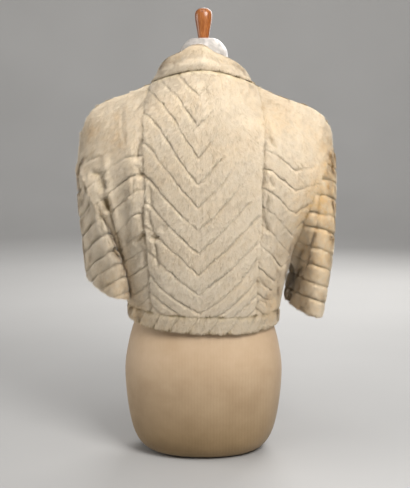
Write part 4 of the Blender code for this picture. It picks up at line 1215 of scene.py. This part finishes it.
def band_panel():
    """A narrow fur strip round the hem, with slanted grooves, from one front edge to the other."""
    high = BAND_LEVEL - BAND_INSET
    columns, rows = BAND_GRID
    place, level = np.meshgrid(np.linspace(-2, 2, columns), np.linspace(0, high, rows), indexing="ij")
    base, out = around_body(drape, place, level), around_body(pile_direction, place, level)
    run, height = run_along(base, 0), run_along(base, 1)
    below_top = height[:, -1:] - height
    count = round(run[-1].mean() / BAND_PITCH)
    middle = run[:, BAND_MIDDLE, None] / run[-1, BAND_MIDDLE] * count
    phase = middle - BAND_SLANT / BAND_PITCH * (level / high - 0.5)
    edge = np.minimum.reduce((run, run[-1] - run, height, below_top))
    way = groove_way(phase, 1 / BAND_PITCH)
    # painted shade in notches where the grooves meet the band's lower edge
    notch = NOTCH_DARK * np.exp(-((way / BAND_NOTCH) ** 2)) * (1 - ease(height, *NOTCH_RUN))
    # painted shade over the whole band
    band_shade = np.full(notch.shape, BAND_SHADE)
    painted_shade = np.maximum.reduce((ragged_line(height, base), ragged_line(below_top, base), notch, band_shade))
    return fur_panel("hem_band", base, out, phase, BAND_PILE, edge, EDGE_PILE, BAND_GROOVE, painted_shade)


def around_neck(function, place, reach, level):
    """A body function round the neckline: reach is 0 at the centre back, 0.5 at the shoulder, 1 in front."""
    found = np.zeros((len(place), 3))
    for side in ("left", "right"):
        back = function("back", side, np.minimum(reach, 0.5), level)
        front = function("front", side, np.minimum(1 - reach, 0.5), level)
        here = (place >= 0) == (side == "right")
        found = np.where(here[:, None], np.where((reach <= 0.5)[:, None], back, front), found)
    return found


def collar_panel():
    """A small rolled collar: a closed section carried along the neckline, leaning in towards the neck."""
    columns, rows = COLLAR_GRID
    turn, place = np.meshgrid(
        np.linspace(0, 1, columns), np.linspace(-COLLAR_END, COLLAR_END, rows), indexing="ij"
    )
    reach = np.abs(place[0])
    top = np.full(reach.shape, TOP_LEVEL)
    rim, standing = (around_neck(function, place[0], reach, top) for function in (drape, pile_direction))
    tangent = unit(np.gradient(rim, axis=0))
    off_panel = unit(np.cross(tangent, standing))
    off_panel = off_panel * np.sign(off_panel[:, 2])[:, None]
    upright = np.array((0, 0, 1.0))
    inwards = unit(np.cross(tangent, upright))
    inwards = inwards * np.sign(-(inwards[:, :2] * rim[:, :2]).sum(1))[:, None]
    lean = COLLAR_LEAN + (FRONT_LEAN - COLLAR_LEAN) * ease(reach, *FRONT_RUN)[:, None]
    stand = upright * np.cos(lean) + inwards * np.sin(lean)
    outwards = upright * np.sin(lean) - inwards * np.cos(lean)
    tip, gain, taper = COLLAR_TAPER
    size = tip + gain * np.sqrt(np.clip((COLLAR_END - reach) / taper, 0, 1))
    size = size * (COLLAR_SIZE - COLLAR_SKEW * rim[:, 0])
    centre, half_width, more = COLLAR_PEAK
    size = size * (1 + more * np.exp(-(((rim[:, 0] - centre) / half_width) ** 4)) * (reach < 0.5))
    tuck = COLLAR_TUCK * ease(reach, *TUCK_RUN)

    def placed(out, up):
        return rim + outwards * (out * size - tuck)[:, None] + stand * (up * size)[:, None]

    rings = [rim + off_panel * COLLAR_GAP, rim + standing * EDGE_PILE + off_panel * COLLAR_GAP]
    rings = np.array(rings + [placed(*point) for point in COLLAR_SECTION])
    flat_rings = rings.reshape(len(rings), -1)
    flat_rings = np.vstack((flat_rings[-1:], flat_rings, flat_rings[:2]))
    surface = through(flat_rings, 1 + turn[:, 0] * len(rings)).reshape(*turn.shape, 3)
    middle = placed(*COLLAR_MIDDLE)
    core = middle + (surface - middle) * COLLAR_CORE
    out = unit(surface - core)
    pile = np.linalg.norm(surface - core, axis=2)
    no_groove = np.full(turn.shape, 0.5)
    edge = np.full(turn.shape, CLEAR_EDGE)
    laid_down = (1 - HAIR_LEAST) * ease(turn, *LAID_DOWN)
    hair = COLLAR_HAIR * (HAIR_LEAST + (1 - HAIR_LEAST) * ease(turn, *COVERED) * (1 - laid_down))
    # painted shadow along the collar's foot, where it meets the neckline
    painted_shade = (1 - ease(turn, *FOOT_DARK)) * ragged(surface)
    return fur_panel("collar", core, out, no_groove, pile, edge, EDGE_PILE, 0.0, painted_shade, hair, wraps=True)


def finer(rings, count):
    """A table of rings drawn out to more rings by a smooth curve through them."""
    return through(rings, np.linspace(0, len(rings) - 1, count))


def turned(name, rings, segments, finish, slot, ruffle=None):
    """A closed turned form: ovals of the given half widths and depths, stacked, with a point at each end."""
    height, half_width, back, front, middle, pinch = (column[:, None] for column in rings.T)
    turn = np.arange(segments)[None] * 2 * math.pi / segments
    across, ahead = np.cos(turn), np.sin(turn)
    x = half_width * np.sign(across) * np.abs(across) ** ROUNDNESS
    y = middle + np.where(ahead < 0, -back - middle, front - middle) * np.abs(ahead) ** pinch
    points = np.stack(np.broadcast_arrays(x, y, height), axis=2)
    if ruffle is not None:
        points = ruffle(points)
    ids = np.arange(points.shape[0] * segments).reshape(-1, segments)
    sides = quads(np.concatenate((ids, ids[:, :1]), axis=1)).tolist()
    caps = [
        np.stack((ring, np.roll(ring, -1), np.full(segments, centre)), axis=1)
        for ring, centre in ((ids[0], ids.size), (ids[-1], ids.size + 1))
    ]
    mesh_points = np.concatenate((points.reshape(-1, 3), points[[0, -1]].mean(1)))
    obj = make_object(name, mesh_points, sides + np.concatenate(caps).tolist(), [finish], slot)
    face_outwards(obj.data)
    obj.data.set_sharp_from_angle(angle=SHARP_ANGLE)
    return obj


def linear(colour):
    """Linear red, green, blue and alpha of an sRGB hex colour."""
    values = np.array([int(colour[k:k + 2], 16) for k in (1, 3, 5)]) / 255
    values = np.where(values <= 0.04045, values / 12.92, ((values + 0.055) / 1.055) ** 2.4)
    return (*map(float, values), 1.0)


def add_node(tree, kind, settings=None, links=None, stops=(), **values):
    """Adds a node: settings are its own properties, links the sources of its sockets, values their constants.

    Stops are the places and hex colours of its colour ramp.
    """
    node = tree.nodes.new(kind)
    for key, value in (settings or {}).items():
        setattr(node, key, value)
    for key, value in values.items():
        node.inputs[key.replace("_", " ")].default_value = value
    for key, source in (links or {}).items():
        tree.links.new(source, node.inputs[key])
    while stops and len(node.color_ramp.elements) < len(stops):
        node.color_ramp.elements.new(0.5)
    for k, (place, colour) in enumerate(stops):
        node.color_ramp.elements[k].position = place
        node.color_ramp.elements[k].color = linear(colour)
    return node


def new_finish(name, **values):
    """A material, its tree, its shader with constants on its own sockets, and its object coordinates."""
    finish = bpy.data.materials.new(name)
    finish.use_nodes = True
    tree = finish.node_tree
    shader = tree.nodes["Principled BSDF"]
    for key, value in values.items():
        shader.inputs[key.replace("_", " ")].default_value = value
    return finish, tree, shader, add_node(tree, "ShaderNodeTexCoord").outputs["Object"]


def sheared_lambskin():
    """Bleached lambskin, sheared to an even pile: matt, soft, yellowed in places; painted shade where it
    parts.
    """
    finish, tree, shader, place = new_finish(
        "bleached_sheared_lambskin",
        Roughness=0.85, Specular_IOR_Level=0.2, Sheen_Weight=0.45, Sheen_Roughness=0.35,
    )
    tone, yellow = (
        add_node(tree, "ShaderNodeAttribute", {"attribute_name": name}).outputs["Fac"]
        for name in ("tone", "yellow")
    )
    colours = {}
    for name, shades in FUR_COLOURS.items():
        stops = tuple(zip(FUR_TONES, shades))
        colours[name] = add_node(tree, "ShaderNodeValToRGB", None, {"Fac": tone}, stops).outputs["Color"]
    layers = [(yellow, colours["aged"])]
    for size, detail, roughness, begin in FUR_DULLING:
        noise = add_node(
            tree, "ShaderNodeTexNoise", None, {"Vector": place},
            Scale=1 / size, Detail=detail, Roughness=roughness,
        ).outputs["Fac"]
        share = add_node(
            tree, "ShaderNodeMapRange", None, {"Value": noise}, From_Min=begin, From_Max=FULLY_DULL
        ).outputs["Result"]
        layers.append((share, colours["dull"]))
    coat = colours["cream"]
    for share, colour in layers:
        coat = add_node(
            tree, "ShaderNodeMix", {"data_type": "RGBA"}, {0: share, 6: coat, 7: colour}
        ).outputs[2]
    tree.links.new(coat, shader.inputs["Base Color"])
    tufts = add_node(
        tree, "ShaderNodeTexNoise", None, {"Vector": place}, Scale=1 / TUFT_SIZE, Detail=2.0
    ).outputs["Fac"]
    bump = add_node(tree, "ShaderNodeBump", None, {"Height": tufts}, Strength=0.35, Distance=0.0010)
    tree.links.new(bump.outputs["Normal"], shader.inputs["Normal"])
    return finish


def ivory_twill():
    """Ivory cotton twill behind the skins: matt, with a diagonal weave, drawn 2.7 mm apart to show."""
    finish, tree, shader, place = new_finish("ivory_cotton_twill_backing", Roughness=0.75, Sheen_Weight=0.2)
    weave = add_node(
        tree, "ShaderNodeTexWave", {"bands_direction": "DIAGONAL"}, {"Vector": place},
        Scale=DIAGONAL_WAVE / TWILL_SPACING, Distortion=1.5, Detail=2.0,
    ).outputs["Fac"]
    stops = ((0.0, "#b7a98f"), (1.0, "#cfc2a8"))
    colour = add_node(tree, "ShaderNodeValToRGB", None, {"Fac": weave}, stops).outputs["Color"]
    tree.links.new(colour, shader.inputs["Base Color"])
    return finish


def cotton_jersey():
    """Beige cotton jersey over padding: matt, faint ribs drawn 6 mm apart to show, painted shade and some
    soil low down.
    """
    finish, tree, shader, place = new_finish(
        "stretched_beige_cotton_jersey", Roughness=0.8, Specular_IOR_Level=0.3, Sheen_Weight=0.15
    )
    ribs = add_node(
        tree, "ShaderNodeTexWave", {"bands_direction": "X"}, {"Vector": place},
        Scale=AXIS_WAVE / RIB_SPACING, Distortion=2.0, Detail=2.0,
    ).outputs["Fac"]
    mottle = add_node(
        tree, "ShaderNodeTexNoise", None, {"Vector": place}, Scale=1 / MOTTLE_SIZE, Detail=4.0, Roughness=0.6
    ).outputs["Fac"]
    height = add_node(tree, "ShaderNodeSeparateXYZ", None, {"Vector": place}).outputs["Z"]
    # painted shade, with some soil: the jersey turns darker towards the bottom of the torso
    upper_height, shaded_height = SHADE_HEIGHTS
    low = add_node(
        tree, "ShaderNodeMapRange", None, {"Value": height}, From_Min=upper_height, From_Max=shaded_height
    ).outputs["Result"]
    upper_colour, shaded_colour = (
        add_node(tree, "ShaderNodeValToRGB", None, {"Fac": mottle}, stops).outputs["Color"]
        for stops in (((0.35, "#bfa383"), (0.70, "#cbb192")), ((0.35, "#846c49"), (0.70, "#967c57")))
    )
    colour = add_node(tree, "ShaderNodeMix", {"data_type": "RGBA"}, {0: low, 6: upper_colour, 7: shaded_colour}).outputs[2]
    tree.links.new(colour, shader.inputs["Base Color"])
    bump = add_node(tree, "ShaderNodeBump", None, {"Height": ribs}, Strength=0.15, Distance=0.0006)
    tree.links.new(bump.outputs["Normal"], shader.inputs["Normal"])
    return finish


def neck_cover():
    """White coated cotton drawn over the neck block: half-gloss, with soft creases and painted shade in their
    hollows.
    """
    finish, tree, shader, place = new_finish("white_coated_cotton", Roughness=0.38, Specular_IOR_Level=0.5)
    crease = add_node(
        tree, "ShaderNodeTexNoise", None, {"Vector": place},
        Scale=1 / COVER_CREASE, Detail=3.0, Distortion=1.2,
    ).outputs["Fac"]
    # painted shade: the colour darkens with the same noise that sinks the creases
    stops = ((0.35, "#aaa39b"), (0.60, "#cbc3bb"))
    colour = add_node(tree, "ShaderNodeValToRGB", None, {"Fac": crease}, stops).outputs["Color"]
    tree.links.new(colour, shader.inputs["Base Color"])
    bump = add_node(tree, "ShaderNodeBump", None, {"Height": crease}, Strength=0.6, Distance=0.004)
    tree.links.new(bump.outputs["Normal"], shader.inputs["Normal"])
    return finish


def turned_beech():
    """Stained beech turned on a lathe and varnished: glossy, with light and dark grain along the knob."""
    finish, tree, shader, place = new_finish(
        "varnished_turned_beech", Roughness=0.35, Coat_Weight=0.3, Coat_Roughness=0.2
    )
    along = add_node(
        tree, "ShaderNodeMapping", None, {"Vector": place}, Scale=(1.0, 1.0, GRAIN_STRETCH)
    ).outputs["Vector"]
    grain = add_node(
        tree, "ShaderNodeTexNoise", None, {"Vector": along}, Scale=1 / GRAIN_WIDTH, Detail=4.0, Roughness=0.65
    ).outputs["Fac"]
    stops = ((0.30, "#7a4019"), (0.55, "#a15f2c"), (0.75, "#b97a46"))
    colour = add_node(tree, "ShaderNodeValToRGB", None, {"Fac": grain}, stops).outputs["Color"]
    tree.links.new(colour, shader.inputs["Base Color"])
    return finish


def studio_floor():
    """Pale painted floor with the faintest unevenness."""
    finish, tree, shader, place = new_finish("pale_studio_paint", Roughness=0.7)
    cloud = add_node(tree, "ShaderNodeTexNoise", None, {"Vector": place}, Scale=1 / CLOUD_SIZE).outputs["Fac"]
    stops = ((0.3, "#b2b0ad"), (0.7, "#b7b5b2"))
    colour = add_node(tree, "ShaderNodeValToRGB", None, {"Fac": cloud}, stops).outputs["Color"]
    tree.links.new(colour, shader.inputs["Base Color"])
    return finish


def creased_neck(points):
    """The neck cover drawn in by shallow upright creases that fade towards its foot."""
    turn = np.arctan2(points[..., 1], points[..., 0])
    share = ease(points[..., 2], *CREASE_FOOT) * (1 - ease(points[..., 2], *CREASE_TOP))
    broad = np.sin(BROAD_CREASES * turn + BROAD_SWAY * np.sin(SWAY_COUNT * turn))
    wave = broad * BROAD_SHARE + np.sin(FINE_CREASES * turn + FINE_START) * FINE_SHARE
    moved = points.copy()
    moved[..., :2] *= (1 - CREASE_DEPTH * share * (1 + wave))[..., None]
    return moved


def garment():
    """Every fur panel as a shell with its coat of pile."""
    fur, backing = sheared_lambskin(), ivory_twill()
    grooves = [((-0.5, CENTRE_POINT, 0.5), row) for row in CENTRE_GROOVES]
    ends = (-0.5, 0.5)
    centre = body_panel("back_centre", "back", "both", ends, BACK_WIDTH, grooves, (), CENTRE_CREASES)
    panels = [(centre, "draped")]
    for side in ("left", "right"):
        grooves = [((0.5, point, 1.0), (seam, low, arm)) for seam, point, low, arm in SIDE_GROOVES[side]]
        panels.append((body_panel(
            f"back_side_{side}", "back", side, (0.5, 1.0), SIDE_WIDTH, grooves,
            BACK_FOLDS[side], BACK_CREASES[side],
        ), "draped"))
        starts = np.arange(*FRONT_SPAN, FRONT_SPACING)
        grooves = [((0.0, 0.5, 1.0), start + FRONT_CHEVRON) for start in starts]
        panels.append((body_panel(
            f"front_{side}", "front", side, (0.0, 1.0), FRONT_WIDTH, grooves, FRONT_FOLDS, ()
        ), "draped"))
        panels.append((sleeve_panel(side), "hung"))
    panels += [(band_panel(), "draped"), (collar_panel(), "folded")]
    for panel, held in panels:
        shell = fur_shell(panel, [fur, backing])
        coat = fur_coat(panel, fur)
        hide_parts(panel.name)
        width, length = run_along(panel.base, 0)[-1].max(), run_along(panel.base, 1)[:, -1].max()


def dress_form():
    """The padded torso, its neck cover and the wooden knob, each a finer turn of its solid."""

    def round_rings(rings):
        height, radius = rings.T
        flat = np.zeros_like(radius)
        return np.stack((height, radius, radius, radius, flat, flat + ROUNDNESS), axis=1)

    pieces = (  # name, table of rings, finish, slot, ruffle
        ("torso", FORM_RINGS, cotton_jersey(), "jersey", None),
        ("neck", round_rings(NECK_RINGS), neck_cover(), "neck_cover", creased_neck),
        ("knob", round_rings(KNOB_RINGS), turned_beech(), "knob_wood", None),
    )
    for name, table, finish, slot, ruffle in pieces:
        rings, segments = FORM_DETAIL[name]
        piece = turned(name, finer(table, rings), segments, finish, slot, ruffle)
        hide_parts("form_" + name)


def studio():
    """A pale round floor swept up into a wall, a soft key from the upper right and five other lights."""
    bend = np.linspace(0, math.pi / 2, SWEEP_STEPS)[:, None]
    turn = np.arange(FLOOR_SEGMENTS) * 2 * math.pi / FLOOR_SEGMENTS
    wall = SWEEP_START + SWEEP_RADIUS
    reach = np.concatenate(([[FLOOR_MIDDLE]], SWEEP_START + SWEEP_RADIUS * np.sin(bend), [[wall]]))
    height = np.concatenate(([[0.0]], SWEEP_RADIUS * (1 - np.cos(bend)), [[WALL_HEIGHT]]))
    points = np.stack(np.broadcast_arrays(reach * np.cos(turn), reach * np.sin(turn), height), axis=2)
    ids = np.arange(points[..., 0].size).reshape(points.shape[:2])
    faces = quads(np.concatenate((ids, ids[:, :1]), axis=1)).tolist() + [ids[0].tolist()]
    floor = make_object("floor", points, faces, [studio_floor()])
    for name, place, aim, width, power in LAMPS:
        lamp = bpy.data.lights.new(name, "AREA")
        lamp.size = width
        lamp.energy = power
        holder = bpy.data.objects.new(name, lamp)
        holder.location = place
        away = np.array(place) - np.array(aim)
        tip = math.atan2(math.hypot(away[0], away[1]), away[2])
        holder.rotation_euler = (tip, 0.0, math.atan2(away[0], -away[1]))
        bpy.context.scene.collection.objects.link(holder)
    world = bpy.data.worlds.new("studio")
    world.use_nodes = True
    sky = world.node_tree.nodes["Background"].inputs
    sky["Color"].default_value = linear(SKY_COLOUR)
    sky["Strength"].default_value = SKY_STRENGTH
    bpy.context.scene.world = world
    bpy.context.scene.view_settings.view_transform = "Standard"


def camera():
    """The photograph's view: level across, tipped down a little, from behind the garment."""
    lens = bpy.data.cameras.new("camera")
    lens.lens = CAMERA_LENS
    holder = bpy.data.objects.new("camera", lens)
    holder.location = CAMERA_PLACE
    holder.rotation_euler = (math.pi / 2 - CAMERA_PITCH, 0.0, 0.0)
    bpy.context.scene.collection.objects.link(holder)
    bpy.context.scene.camera = holder


camera()
studio()
dress_form()
garment()
